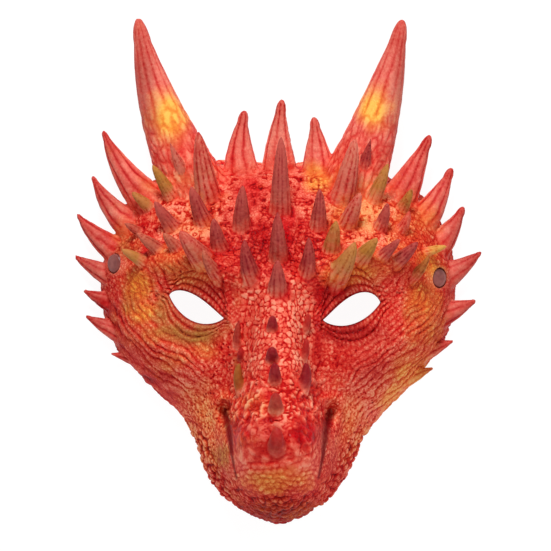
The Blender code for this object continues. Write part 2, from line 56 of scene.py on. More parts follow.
mm = 0.001  # shapes are drawn in millimetres: x across the face, y chin to horns, z out of the face

face = {
    # back rim round the face, clockwise from the top, without the fringe
    "rim": [
        (2, 60), (14, 61), (28, 63), (44, 60), (61, 53), (73, 48), (82, 41), (92, 26), (98, 8),
        (99, -14), (94, -36), (84, -51), (74.5, -63), (63.5, -74), (54, -84.5), (46.5, -97),
        (41, -110), (36, -118.5), (28, -127.5), (18.5, -134), (10, -138), (1, -140.3), (-9, -138),
        (-18, -134), (-27.5, -127.5), (-36.5, -119), (-41, -110), (-45.5, -97), (-49.5, -87),
        (-56, -77), (-66, -68.5), (-76, -58.5), (-89, -44), (-96, -26), (-98.5, -11), (-97, 5),
        (-90, 22), (-83, 36), (-74, 47), (-62, 55), (-47, 61), (-30, 62), (-14, 61),
    ],
    "centre": (0.0, -30.0),
    "dome": 60.0, "domeRoundness": 0.6, "rimRounding": 40,
    "muzzleTop": [(60, 22), (40, 36), (20, 51), (0, 60), (-20, 67), (-40, 76), (-60, 86), (-78, 95),
                  (-92, 99), (-104, 97), (-116, 91), (-128, 84), (-142, 76)],
    "muzzleHalfWidth": [(60, 12), (30, 14), (0, 16), (-30, 18), (-55, 20), (-75, 25), (-90, 28),
                        (-105, 27), (-118, 24), (-130, 20), (-142, 14)],
    "muzzleSpread": 1.35, "muzzleSquareness": 3, "muzzleChin": 12, "muzzleBlend": 9.0,
    "brow": [(13, -4), (30, 2), (50, 7), (70, 6), (86, -1)], "browHeight": 9.0, "browWidth": 9.0,
    "cheek": [(92, -22), (72, -40), (50, -52), (34, -66)], "cheekHeight": 4.5, "cheekWidth": 11.0,
    "jaw": [(60, -66), (46, -84), (38, -104), (27, -119)], "jawHeight": 5.0, "jawWidth": 7.0,
    "ridgeFade": 0.25, "ridgeLeft": 0.35, "ridgeEdge": 8,
    "socketDepth": 9.0, "socketLength": 25.0, "socketHeight": 14.0,
    "nostril": [(29, -76), (26.5, -88), (25, -100), (22.5, -113)],
    "nostrilDepth": 7.5, "nostrilWidth": 2.6, "nostrilLip": 3.0, "lipPlace": 2.4,
    "wall": 5.5, "cells": 170, "skirt": 9.0, "cavityCells": 64, "cavitySkirt": 13.0,
    "voxel": 0.72, "triangles": 178000, "cavityTriangles": 9000,
}

# outer corner, inner corner, rise of the upper lid, drop of the lower lid
eyes = {
    "left": {"outer": (-59.5, -13.0), "inner": (-29.5, -25.5), "upper": 5.6, "lower": 8.2},
    "right": {"outer": (56.5, -17.0), "inner": (25.0, -26.5), "upper": 8.4, "lower": 7.0},
}

# how fast a lid rises from its outer corner, and falls to its inner one
lids = {"upper": (0.55, 1.2), "lower": (0.9, 0.75)}

rivets = {
    "places": {"left": (-90.0, 4.5), "right": (89.0, -3.5)},
    "patchRadius": 10.0, "patchSlope": 0.85, "patchHeight": 20.0,
    "headRadius": 5.25, "shankRadius": 2.1, "flangeRadius": 4.5, "grip": 4.0, "seat": 0.8,
    "shankClearance": 0.3, "seatClearance": 0.6, "above": 12.0, "below": 6.0,
}

# Crown spikes: foot x, y, tip x, y, width at the foot, rise of the tip, paint
crownSpikes = [
    (1.5, 33, 2, 74, 11, 12, "maroon"), (0.5, 7, 0, 32.5, 10, 13, "maroon"),
    (0, -11, 0, 6.5, 10, 10, "maroon"),
    (-20, 24, -19, 47.5, 9.5, 12, "maroon"), (-32, 12.5, -35, 29, 9.5, 11, "maroon"),
    (-15, -3.5, -18, 17.5, 10, 11, "maroon"),
    (-41, 27.5, -47.5, 47, 9.5, 11, "maroon"), (-38.5, 41.5, -43.5, 77, 13, 14, "dusk"),
    (-58.5, 41.5, -69, 59, 8, 9, "olive"),
    (-58.5, 24.5, -67.5, 39, 8.5, 9, "maroon"), (-71, 35.5, -80.5, 44, 7, 6, "olive"),
    (-76, 21.5, -84.5, 27, 5.5, 5, "brown"), (-65.5, 12, -77.5, 21.5, 7.5, 7, "brown"),
    (-55.5, 12.5, -62.5, 21.5, 7.5, 7, "brown"),
    (-42, 7, -53.5, 22.5, 12, 11, "dusk"), (-34, -2.5, -41, 12.5, 7.5, 9, "brown"),
    (-74, 5.5, -86, 12.5, 7, 5, "olive"),
    (22.5, 24.5, 23, 45.5, 9, 12, "maroon"), (29.5, 11.5, 32, 28, 9.5, 11, "olive"),
    (16.5, -1, 17, 19, 9, 11, "maroon"),
    (38.5, 26, 45.5, 43.5, 10, 11, "dusk"), (36, 39.5, 42.5, 73, 13, 14, "dusk"),
    (53, 39.5, 61, 59.5, 8.5, 9, "olive"), (57, 24, 60.5, 38, 7.5, 8, "maroon"),
    (69, 34.5, 74, 45.5, 7, 6, "olive"),
    (69, 22.5, 72.5, 33.5, 6.5, 6, "red"), (45.5, 7, 54.5, 18.5, 9.5, 9, "olive"),
    (33.5, -3, 42.5, 16.5, 12, 12, "olive"),
    (57.5, 8, 67, 18, 7, 7, "maroon"), (66.5, 5.5, 77, 16.5, 8, 7, "maroon"),
    (75, -4, 83.5, 9.5, 6, 5, "olive"),
    (81.5, 10.5, 93.5, 14, 5.5, 3, "golden"),
]
noseSpikes = [
    (-3, -31.5, -2.5, -24, 6, 5, "maroon"), (-3, -48, -3, -41, 7, 5, "maroon"),
    (-1.5, -60, -1.5, -49.5, 7, 6, "maroon"),
    (-1, -75.5, -1, -65.5, 8, 6, "brown"), (-0.5, -97.5, -0.5, -84, 9.5, 7, "dusk"),
    (-22.5, -41.5, -21, -26.5, 4.5, 4, "brown"),
    (-20.5, -48, -19.5, -41.5, 4.5, 4, "dusk"), (-21, -66, -20.5, -50, 6, 6, "olive"),
    (15.5, -33, 16.5, -22.5, 4.5, 4, "dusk"),
    (14.5, -49, 15, -36, 5, 5, "dusk"), (15, -64.5, 15, -49.5, 7, 6, "maroon"),
]
# Fringe: foot x, y, tip x, y, width, height of foot, height of tip, bow, paint
fringeSpikes = [
    (-71, 40, -96.5, 78, 19, 13, 16, 0.12, "skin"), (-82, 27, -102.5, 53, 15.5, 11, 13, 0.13, "skin"),
    (-88, 12, -111, 32, 15.5, 9, 10, 0.12, "skin"), (-90, -2.5, -113, 9, 13.5, 7, 8, 0.08, "skin"),
    (-88, -18, -107.5, -10.5, 13.5, 7, 8, 0.06, "skin"),
    (-84, -34.5, -106.5, -24.5, 13.5, 7, 7, 0.06, "skin"),
    (-75, -49, -92.5, -45.5, 10, 6, 6, 0.0, "skin"),
    (67, 40, 84.5, 75.5, 19, 13, 16, -0.02, "skin"), (81, 30, 96.5, 57.5, 16.5, 11, 13, -0.08, "skin"),
    (89, 16, 103, 36, 15.5, 9, 10, -0.1, "skin"), (91, -3, 113, 11, 16, 7, 8, -0.08, "skin"),
    (89, -24, 110, -16, 16, 7, 8, -0.04, "skin"), (82, -44, 97.5, -38.5, 12, 6, 6, 0.0, "skin"),
    (72, -59, 86.5, -53.5, 10, 6, 6, 0.0, "skin"),
    (-19, 54, -18, 89, 19, 13, 21, 0.1, "skin"), (1.5, 54, 2.5, 95, 19, 13, 22, 0.05, "skin"),
    (22.5, 55, 20, 85.5, 18, 13, 20, -0.02, "skin"),
    (-52.5, 55, -59.5, 71.5, 7, 28, 38, 0.0, "dusk"), (48, 60, 51.5, 73, 7, 29, 37, 0.0, "maroon"),
]
horns = [
    (-43, 42, -77, 139.8, 38, 15, 24, 0.09, "skin"),
    (39, 42, 69, 139.0, 38, 15, 24, -0.05, "skin"),
]
spikeForm = {
    "hornTaper": 0.68, "crownTaper": 0.6, "noseTaper": 0.4, "fringeTaper": 0.76, "topTaper": 0.78,
    "hornBlunt": 0.26, "crownBlunt": 0.17, "noseBlunt": 0.35, "fringeBlunt": 0.17, "topBlunt": 0.26,
    "topAbove": 84, "topRightOf": 80, "bluntAbove": 30,  # which fringe spikes take the top forms
    "tipLength": 0.6, "tipRoundness": 0.97,
    "flatness": 0.85, "sides": 28, "rings": 22, "ringCrowding": 1.5, "senseSteps": 33,
    "crownSink": 0.35, "crownLean": 0.22, "crownFullness": 1.14,
    "fringeSink": 5.0, "fringeFullness": 1.22, "hornSink": 0.0, "hornFullness": 1.0,
}


def smoothCurve(points):
    table = np.array(sorted(points), dtype=float)
    knots, values = table[:, 0], table[:, 1]
    slopes = np.gradient(values, knots)

    def at(place):
        place = np.clip(place, knots[0], knots[-1])
        i = np.clip(np.searchsorted(knots, place) - 1, 0, len(knots) - 2)
        step = knots[i + 1] - knots[i]
        s = (place - knots[i]) / step
        return ((1 + 2 * s) * (1 - s) ** 2 * values[i] + s * (1 - s) ** 2 * step * slopes[i]
                + s * s * (3 - 2 * s) * values[i + 1] - s * s * (1 - s) * step * slopes[i + 1])

    return at


def rimCurve():
    rim = np.array(face["rim"]) - np.array(face["centre"])
    angles = np.arctan2(rim[:, 1], rim[:, 0])
    reach = np.hypot(rim[:, 0], rim[:, 1])
    return smoothCurve([(a + turn, r) for turn in (-2 * pi, 0, 2 * pi) for a, r in zip(angles, reach)])


rimReach = rimCurve()
muzzleTop = smoothCurve(face["muzzleTop"])
muzzleHalfWidth = smoothCurve(face["muzzleHalfWidth"])


# distance to a broken line, signed by its side, and how far along it the nearest point is, in mm
def nearLine(x, y, line):
    nearest = np.full(np.shape(x), 1e9)
    along, side, run = np.zeros(np.shape(x)), np.ones(np.shape(x)), 0.0
    for a, b in zip(line[:-1], line[1:]):
        dx, dy = b[0] - a[0], b[1] - a[1]
        length = np.hypot(dx, dy)
        s = np.clip(((x - a[0]) * dx + (y - a[1]) * dy) / length ** 2, 0, 1)
        gap = np.hypot(x - a[0] - s * dx, y - a[1] - s * dy)
        closer = gap < nearest
        along = np.where(closer, run + s * length, along)
        side = np.where(closer, np.sign((x - a[0]) * dy - (y - a[1]) * dx), side)
        nearest = np.minimum(gap, nearest)
        run += length
    return nearest, along, side, run


def ridge(x, y, line, width):
    gap, along, _, run = nearLine(np.abs(x), y, line)
    # the share counts each stretch of the line alike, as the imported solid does
    parts = np.cumsum([0] + [np.hypot(b[0] - a[0], b[1] - a[1]) for a, b in zip(line[:-1], line[1:])])
    share = np.interp(along, parts, np.linspace(0, 1, len(parts)))
    fade = np.clip(np.minimum(share, 1 - share) / face["ridgeFade"], 0, 1)
    return np.exp(-(gap / width) ** 2) * (face["ridgeLeft"] + (1 - face["ridgeLeft"]) * fade)


def rimShare(x, y, inset=0.0):
    fromX, fromY = x - face["centre"][0], y - face["centre"][1]
    return np.clip(np.hypot(fromX, fromY) / (rimReach(np.arctan2(fromY, fromX)) - inset), 0, 1)


def broadHeight(x, y, inset=0.0):
    share = rimShare(x, y, inset)
    dome = (face["dome"] - inset) * (1 - share ** 2) ** face["domeRoundness"]
    across = np.abs(x) / (face["muzzleSpread"] * muzzleHalfWidth(y) - inset)
    muzzle = (muzzleTop(y) - inset) * (1 - across ** face["muzzleSquareness"])
    muzzle = muzzle * (1 - share ** face["muzzleChin"]) ** 0.5
    height = 0.5 * (dome + muzzle + np.sqrt((dome - muzzle) ** 2 + face["muzzleBlend"] ** 2))
    height = height * (1 - share ** face["rimRounding"]) ** 0.5
    for eye in eyes.values():
        centreX = 0.5 * (eye["outer"][0] + eye["inner"][0])
        centreY = 0.5 * (eye["outer"][1] + eye["inner"][1])
        near = ((x - centreX) / face["socketLength"]) ** 2 + ((y - centreY) / face["socketHeight"]) ** 2
        height = height - face["socketDepth"] * np.exp(-near)
    slope = rivets["patchSlope"]
    for placeX, placeY in rivets["places"].values():
        gap = np.hypot(x - placeX, y - placeY) / rivets["patchRadius"]
        patch = rivets["patchHeight"] - slope * (x - placeX) * np.sign(placeX) - inset * np.hypot(1, slope)
        blend = np.exp(-gap ** 4) * (1 - share ** face["rimRounding"])
        height = height * (1 - blend) + patch * blend
    return height


def nostrilSlit(x, y):
    gap, along, _, run = nearLine(np.abs(x), y, face["nostril"])
    along = along / run
    width = face["nostrilWidth"]
    slit = face["nostrilDepth"] * (1 - 0.45 * along) * np.exp(-(gap / width) ** 2)
    return slit, face["nostrilLip"] * (1 - 0.5 * along) * np.exp(-(gap / width - face["lipPlace"]) ** 2)


def carvedHeight(x, y):
    inside = (1 - rimShare(x, y) ** face["ridgeEdge"]) ** 0.5
    height = broadHeight(x, y)
    for part in ("brow", "cheek", "jaw"):
        height = height + face[part + "Height"] * ridge(x, y, face[part], face[part + "Width"]) * inside
    slit, lip = nostrilSlit(x, y)
    return height - slit + lip


def skinNormal(x, y):
    step = 0.25
    slopeX = (broadHeight(x + step, y) - broadHeight(x - step, y)) / (2 * step)
    slopeY = (broadHeight(x, y + step) - broadHeight(x, y - step)) / (2 * step)
    return np.array(Vector((-float(slopeX), -float(slopeY), 1.0)).normalized())


# a lid's height at share t of its length, 1 at its peak
def lidHeight(t, name):
    rise, fall = lids[name]
    peak = rise / (rise + fall)
    return t ** rise * (1 - t) ** fall / (peak ** rise * (1 - peak) ** fall)


def eyeOutline(eye, count=40):
    outer, inner = np.array(eye["outer"]), np.array(eye["inner"])
    run = inner - outer
    side = np.array((-run[1], run[0])) / np.hypot(*run) * np.sign(run[0])
    points = []
    for i in range(count):
        turn = 2 * pi * i / count
        t = 0.5 - 0.5 * np.cos(turn)
        name, way = ("upper", 1) if turn < pi else ("lower", -1)
        points.append(outer + run * t + way * side * eye[name] * lidHeight(t, name))
    return points


# Patterns


def smoothStep(low, high, value):
    s = np.clip((value - low) / (high - low), 0, 1)
    return s * s * (3 - 2 * s)


def band(value, low, high, soft):
    return smoothStep(low - soft, low + soft, value) * (1 - smoothStep(high - soft, high + soft, value))


# soft-edged box: left, right, softness, bottom, top, softness
def patch(x, y, place):
    return band(x, *place[:3]) * band(y, *place[3:])


# an even random number for each whole-number place
def scatter(place, seed):
    n = place.astype(np.int64).astype(np.uint32)
    n = n[:, 0] * np.uint32(374761393) + n[:, 1] * np.uint32(668265263) + n[:, 2] * np.uint32(1442695041)
    n = n + np.uint32(seed * 362437)
    n = (n ^ (n >> np.uint32(13))) * np.uint32(1274126177)
    n = (n ^ (n >> np.uint32(15))) * np.uint32(2246822519)
    return (n ^ (n >> np.uint32(16))).astype(float) / 4294967295.0


# soft lumps between -1 and 1
def lumps(p, size, seed):
    q = p / size
    base = np.floor(q)
    f = q - base
    f = f * f * (3 - 2 * f)
    total = np.zeros(len(p))
    for corner in np.ndindex(2, 2, 2):
        weight = np.ones(len(p))
        for axis in range(3):
            weight = weight * (f[:, axis] if corner[axis] else 1 - f[:, axis])
        total += weight * scatter(base + np.array(corner), seed)
    return total * 2 - 1


# distance to the nearest and next scattered point, in cells, and a random number for each cell
def cells(p, size, seed, jitter=0.9):
    q = p / size
    base = np.floor(q)
    nearest, second = np.full(len(p), 9.0), np.full(len(p), 9.0)
    pick = np.zeros(len(p))
    for step in np.ndindex(3, 3, 3):
        cell = base + np.array(step) - 1
        offset = np.column_stack([scatter(cell, seed + k) for k in (1, 2, 3)])
        gap = np.linalg.norm(cell + 0.5 + jitter * (offset - 0.5) - q, axis=1)
        second = np.where(gap < nearest, nearest, np.minimum(second, gap))
        pick = np.where(gap < nearest, offset[:, 0], pick)
        nearest = np.minimum(nearest, gap)
    return nearest, second, pick


# 0 in the cracks and 1 on top of each scale
def scales(p, size, seed, crack=0.35, jitter=0.9):
    nearest, second, pick = cells(p, size, seed, jitter)
    return 1 - (1 - np.clip((second - nearest) / crack, 0, 1)) ** 2, pick


def turnedStretched(p, angle, stretch):
    c, s = np.cos(angle), np.sin(angle)
    return np.column_stack(((p[:, 0] * c + p[:, 1] * s) / stretch, -p[:, 0] * s + p[:, 1] * c, p[:, 2]))


# long rounded folds that run beside a line, 0 in their creases
def folds(p, line, spacing, waver, seed):
    gap, along, side, _ = nearLine(p[:, 0], p[:, 1], line)
    place = gap * side + waver * lumps(p, 13.0, seed) + 0.4 * waver * lumps(p, 5.0, seed + 5)
    return np.clip(np.abs(np.sin(pi * place / spacing)) * 1.2, 0, 1) ** 0.6


# Spikes


def spikePlans():
    form, plans = spikeForm, []

    def add(foot, tip, bow, lean, width, paint, kind, taper, blunt):
        plans.append({"foot": foot, "tip": tip, "bow": bow, "lean": lean, "width": width, "paint": paint,
                      "kind": kind, "taper": form[taper + "Taper"], "blunt": form[blunt + "Blunt"]})

    for kind, rows in (("crown", crownSpikes), ("nose", noseSpikes)):
        for x, y, tipX, tipY, width, rise, paint in rows:
            skin = float(carvedHeight(np.array(float(x)), np.array(float(y))))
            normal = skinNormal(x, y)
            foot = np.array((x, y, skin)) - normal * form["crownSink"] * width
            add(foot, np.array((tipX, tipY, skin + rise)), 0.0, normal * form["crownLean"],
                width * form["crownFullness"], paint, kind, kind, kind)
    for kind, rows in (("fringe", fringeSpikes), ("horn", horns)):
        for x, y, tipX, tipY, width, footZ, tipZ, bow, paint in rows:
            foot, tip = np.array((x, y, footZ), dtype=float), np.array((tipX, tipY, tipZ), dtype=float)
            foot -= (tip - foot) / np.linalg.norm(tip - foot) * form[kind + "Sink"]
            top = kind == "fringe" and (tipY > form["topAbove"] or tipX > form["topRightOf"])
            blunt = top and tipY > form["bluntAbove"]
            add(foot, tip, bow, np.zeros(3), width * form[kind + "Fullness"], paint,
                kind if paint == "skin" else "crown", "top" if top else kind, "top" if blunt else kind)
    return plans


# a long taper that ends in a small round tip
def spikeFullness(plan, t):
    tip = np.clip((1 - t) / (spikeForm["tipLength"] * plan["blunt"]), 0, 1)
    cap = np.sqrt(1 - spikeForm["tipRoundness"] * (1 - tip) ** 2)
    return np.maximum(plan["blunt"], (1 - t) ** plan["taper"]) * cap


# centre, sideways and thickness directions and radius of a spike at shares t of its length
def spikeLine(plan, t):
    foot, tip = plan["foot"], plan["tip"]
    run = tip - foot
    length = np.linalg.norm(run)
    across = np.cross((0, 0, 1), run)
    across = across / np.linalg.norm(across)
    middle = foot + run * 0.5 + across * plan["bow"] * length + plan["lean"] * length
    share = np.asarray(t)[:, None]
    centre = foot * (1 - share) ** 2 + middle * 2 * share * (1 - share) + tip * share ** 2
    ahead = (middle - foot) * (1 - share) + (tip - middle) * share
    ahead = ahead / np.linalg.norm(ahead, axis=1)[:, None]
    side = np.cross((0, 0, 1), ahead)
    side = side / np.linalg.norm(side, axis=1)[:, None]
    radius = plan["width"] / 2 * spikeFullness(plan, np.asarray(t))
    return centre, ahead, side, np.cross(ahead, side), radius, length


def addSpikes(bm, plans):
    cone = bmesh.new()
    bmesh.ops.create_cone(cone, cap_ends=True, cap_tris=True, segments=spikeForm["sides"],
                          radius1=1.0, radius2=1.0, depth=1.0)
    long = [edge for edge in cone.edges if abs(edge.verts[0].co.z - edge.verts[1].co.z) > 0.5]
    bmesh.ops.subdivide_edges(cone, edges=long, cuts=spikeForm["rings"], use_grid_fill=True)
    template = bpy.data.meshes.new("spikeTemplate")
    cone.to_mesh(template)
    cone.free()
    flat = np.array([vert.co for vert in template.vertices])
    turn, spread = np.arctan2(flat[:, 1], flat[:, 0]), np.hypot(flat[:, 0], flat[:, 1])
    # rings crowd towards the tip, so it comes out round
    share = 1 - np.clip(0.5 - flat[:, 2], 0, 1) ** spikeForm["ringCrowding"]
    for plan in plans:
        centre, _, side, thick, radius, _ = spikeLine(plan, share)
        placed = centre + side * (radius * spread * np.cos(turn))[:, None]
        placed = placed + thick * (radius * spread * spikeForm["flatness"] * np.sin(turn))[:, None]
        template.vertices.foreach_set("co", (placed * mm).ravel())
        bm.from_mesh(template)
    bpy.data.meshes.remove(template)


# how each point lies to its nearest spike: closeness (1 on the spike), share of its length, angle, index
def spikeSense(p, plans):
    closeness = np.full(len(p), 9.0)
    share, turn, pick = np.zeros(len(p)), np.zeros(len(p)), np.zeros(len(p), dtype=int)
    steps = np.linspace(0, 1, spikeForm["senseSteps"])
    for i, plan in enumerate(plans):
        centre, ahead, side, thick, radius, length = spikeLine(plan, steps)
        reach = plan["width"] * 0.9 + 2
        low, high = centre.min(axis=0) - reach, centre.max(axis=0) + reach
        near = np.nonzero(np.all((p > low) & (p < high), axis=1))[0]
        if not len(near):
            continue
        q = p[near]
        offset = q[:, None, :] - centre[None, :, :]
        ratio = np.linalg.norm(offset, axis=2) / np.maximum(radius, 0.6)[None, :] ** 0.5
        k = ratio.argmin(axis=1)
        r = offset[np.arange(len(near)), k]
        slip = np.einsum("ij,ij->i", r, ahead[k])
        t = np.clip(steps[k] + slip / length, 0, 1)
        r = r - ahead[k] * slip[:, None] * (t < 1)[:, None]
        u, v = np.einsum("ij,ij->i", r, side[k]), np.einsum("ij,ij->i", r, thick[k]) / spikeForm["flatness"]
        size = plan["width"] / 2 * spikeFullness(plan, t)
        beyond = np.abs(slip) * (t >= 1)
        close = np.sqrt(u * u + v * v + beyond ** 2) / np.maximum(size, 0.5)
        better = close < closeness[near]
        who = near[better]
        closeness[who], share[who], turn[who] = close[better], t[better], np.arctan2(v, u)[better]
        pick[who] = i
    return closeness, share, turn, pick


# Meshes


def formGrid(height, count, inset=0.0):
    bm = bmesh.new()
    bmesh.ops.create_grid(bm, x_segments=count, y_segments=count, size=1.0)
    flat = np.array([v.co[:2] for v in bm.verts])
    u = flat[:, 0] * np.sqrt(1 - flat[:, 1] ** 2 / 2)
    v = flat[:, 1] * np.sqrt(1 - flat[:, 0] ** 2 / 2)
    turn = np.arctan2(v, u)
    spread = np.sin(np.clip(np.hypot(u, v), 0, 1) * pi / 2) ** 0.85
    reach = spread * (rimReach(turn) - inset)
    x = face["centre"][0] + reach * np.cos(turn)
    y = face["centre"][1] + reach * np.sin(turn)
    for vert, place in zip(bm.verts, np.column_stack((x, y, height(x, y)))):
        vert.co = place * mm
    for vert in bm.verts:
        if vert.is_boundary:
            vert.co.z = 0.0
    return bm


def closeBelow(bm, drop):
    rim = [edge for edge in bm.edges if edge.is_boundary]
    skirt = bmesh.ops.extrude_edge_only(bm, edges=rim)["geom"]
    lower = [item for item in skirt if isinstance(item, bmesh.types.BMVert)]
    bmesh.ops.translate(bm, verts=lower, vec=(0, 0, -drop * mm))
    ring = [item for item in skirt if isinstance(item, bmesh.types.BMEdge) and item.is_boundary]
    bmesh.ops.edgeloop_fill(bm, edges=ring)
    bmesh.ops.triangulate(bm, faces=[part for part in bm.faces if len(part.verts) > 4])
    bmesh.ops.recalc_face_normals(bm, faces=bm.faces)


def newObject(name, bm):
    mesh = bpy.data.meshes.new(name)
    bm.to_mesh(mesh)
    bm.free()
    item = bpy.data.objects.new(name, mesh)
    bpy.context.scene.collection.objects.link(item)
    return item


def applied(item):
    graph = bpy.context.evaluated_depsgraph_get()
    mesh = bpy.data.meshes.new_from_object(item.evaluated_get(graph), depsgraph=graph)
    item.modifiers.clear()
    old, item.data = item.data, mesh
    bpy.data.meshes.remove(old)


def thinned(item, triangles):
    thin = item.modifiers.new("thin", "DECIMATE")
    thin.ratio = min(1.0, triangles / sum(len(part.vertices) - 2 for part in item.data.polygons))
    thin.use_collapse_triangulate = True
    applied(item)


def cutFlat(item):
    bm = bmesh.new()
    bm.from_mesh(item.data)
    whole = bm.verts[:] + bm.edges[:] + bm.faces[:]
    cut = bmesh.ops.bisect_plane(bm, geom=whole, plane_co=(0, 0, 0), plane_no=(0, 0, 1),
                                 clear_inner=True)["geom_cut"]
    bmesh.ops.edgeloop_fill(bm, edges=[part for part in cut if isinstance(part, bmesh.types.BMEdge)])
    bmesh.ops.recalc_face_normals(bm, faces=bm.faces)
    bm.to_mesh(item.data)
    bm.free()


def eyeCutter(name, eye):
    bm = bmesh.new()
    lens = bm.faces.new([bm.verts.new((x * mm, y * mm, 20 * mm)) for x, y in eyeOutline(eye)])
    top = bmesh.ops.extrude_face_region(bm, geom=[lens], use_keep_orig=True)["geom"]
    upper = [item for item in top if isinstance(item, bmesh.types.BMVert)]
    bmesh.ops.translate(bm, verts=upper, vec=(0, 0, 70 * mm))
    bmesh.ops.recalc_face_normals(bm, faces=bm.faces)
    return newObject(name, bm)


def rivetCutter(side):
    x, y = rivets["places"][side]
    normal = Vector(skinNormal(x, y))
    seat = Vector((x, y, float(broadHeight(np.array(x), np.array(y))))) - normal * rivets["seat"]
    hole = rivets["shankRadius"] + rivets["shankClearance"]
    outer = rivets["headRadius"] + rivets["seatClearance"]
    inner = rivets["flangeRadius"] + rivets["seatClearance"]
    low = -rivets["grip"] - rivets["below"]
    profile = [(0, rivets["above"]), (outer, rivets["above"]), (outer, 0), (hole, 0),
               (hole, -rivets["grip"]), (inner, -rivets["grip"]), (inner, low), (0, low)]
    bm = bmesh.new()
    verts = [bm.verts.new((radius * mm, 0, height * mm)) for radius, height in profile]
    edges = [bm.edges.new(pair) for pair in zip(verts[:-1], verts[1:])]
    bmesh.ops.spin(bm, geom=verts + edges, cent=(0, 0, 0), axis=(0, 0, 1), angle=2 * pi,
                   steps=32, use_merge=True, use_duplicate=False)
    bmesh.ops.remove_doubles(bm, verts=bm.verts, dist=1e-6)
    bmesh.ops.recalc_face_normals(bm, faces=bm.faces)
    turn = normal.to_track_quat("Z", "Y").to_matrix().to_4x4()
    bm.transform(Matrix.Translation(seat * mm) @ turn)
    return newObject("rivetRoom" + side, bm)


def vectors(items, name):
    flat = np.empty(len(items) * 3)
    items.foreach_get(name, flat)
    return flat.reshape(-1, 3)


# Relief of the skin

skin = {
    "leftFlow": [(-97, -5), (-84, -27), (-66, -44), (-48, -56), (-30, -69), (-22, -84)],
    "rightFlow": [(97, -5), (84, -25), (70, -38), (51, -52), (32, -67), (24, -84)],
    "leftSpacing": 3.8, "rightSpacing": 3.2, "leftWaver": 2.6, "rightWaver": 2.4,
    "creases": [[(-28.6, -4), (-27.5, -15), (-26.5, -27)], [(29, 4), (24, -13), (22.5, -31)]],
    "creaseRise": 1.9, "creaseWidth": 1.1, "seamDepth": 0.6, "pitDepth": 1.2,
    "pits": [(-68, -12, 3.5), (-65, -15, 2.5), (68, -11, 3.0), (-26, -46, 2.0), (-28, -52, 2.0)],
    "noseSideX": -24.5, "noseSideRise": 1.1, "mouthY": -103.0, "mouthWidth": 0.9, "mouthDepth": 0.9,
    "places": {"nose": (-23, 22, 3, -66, 0, 5), "snout": (-29, 29, 3, -86, -58, 4),
               "plate": (-25, 23, 2.5, -107, -84, 4), "chin": (-27, 25, 4, -124, -106, 3)},
    "size": {"pebbles": 2.5, "pores": 3.4, "nodules": 3.1, "leaves": 2.6, "pocks": 3.3, "polygons": 3.3,
             "nose": 3.2, "snout": 4.6, "blobs": 3.4, "plate": 3.8, "ovalHigh": 2.9, "ovalWide": 3.9,
             "knobs": 4.4, "leftLid": 3.7, "rightLid": 4.2, "beads": 2.3, "rootLeaves": 3.3, "pits": 1.9},
    "depth": {"pebbles": 0.6, "leftFolds": 1.6, "rightFolds": 1.3, "leaves": 1.1, "worms": 1.0,
              "polygons": 1.15, "nose": 0.95, "snout": 2.4, "plate": 1.1, "chin": 0.9, "knobs": 2.0,
              "leftLid": 1.8, "rightLid": 2.2, "rivetSeats": 0.4},
    # grooves on crown, nose and fringe spikes and on horns
    "grooves": (10, 5, 7, 12), "grooveStrength": (0.7, 0.3, 0.85, 0.6), "grooveDepth": (0.9, 0.35, 1.7, 1.6),
    # way the leaf scales point: left and right temple, left and right horn
    "templeTurns": (2.75, 0.35), "hornTurns": (1.9, 1.24),
    "topLevel": 0.85,  # the part of a pattern that lies at the solid's own height
}


# rows of folds that meet at an eye's two corners: row number, place along, strength
def lidRows(p, eye, spacing):
    outer, inner = np.array(eye["outer"]), np.array(eye["inner"])
    run = inner - outer
    length = np.hypot(*run)
    fromX, fromY = p[:, 0] - outer[0], p[:, 1] - outer[1]
    along = (fromX * run[0] + fromY * run[1]) / length
    up = (fromY * run[0] - fromX * run[1]) / length * np.sign(run[0])
    stretch = np.clip((along + 9) / (length + 15), 0.001, 0.999)
    bow = (4 * stretch * (1 - stretch)) ** 0.8
    t = np.clip(along / length, 0, 1)
    upper, lower = [eye[name] * lidHeight(t, name) for name in ("upper", "lower")]
    beyond = np.where(up > 0, up - upper, -up - lower)
    return beyond / (spacing * bow + 0.4), along, up, band(along, -4, length + 4, 3.0)


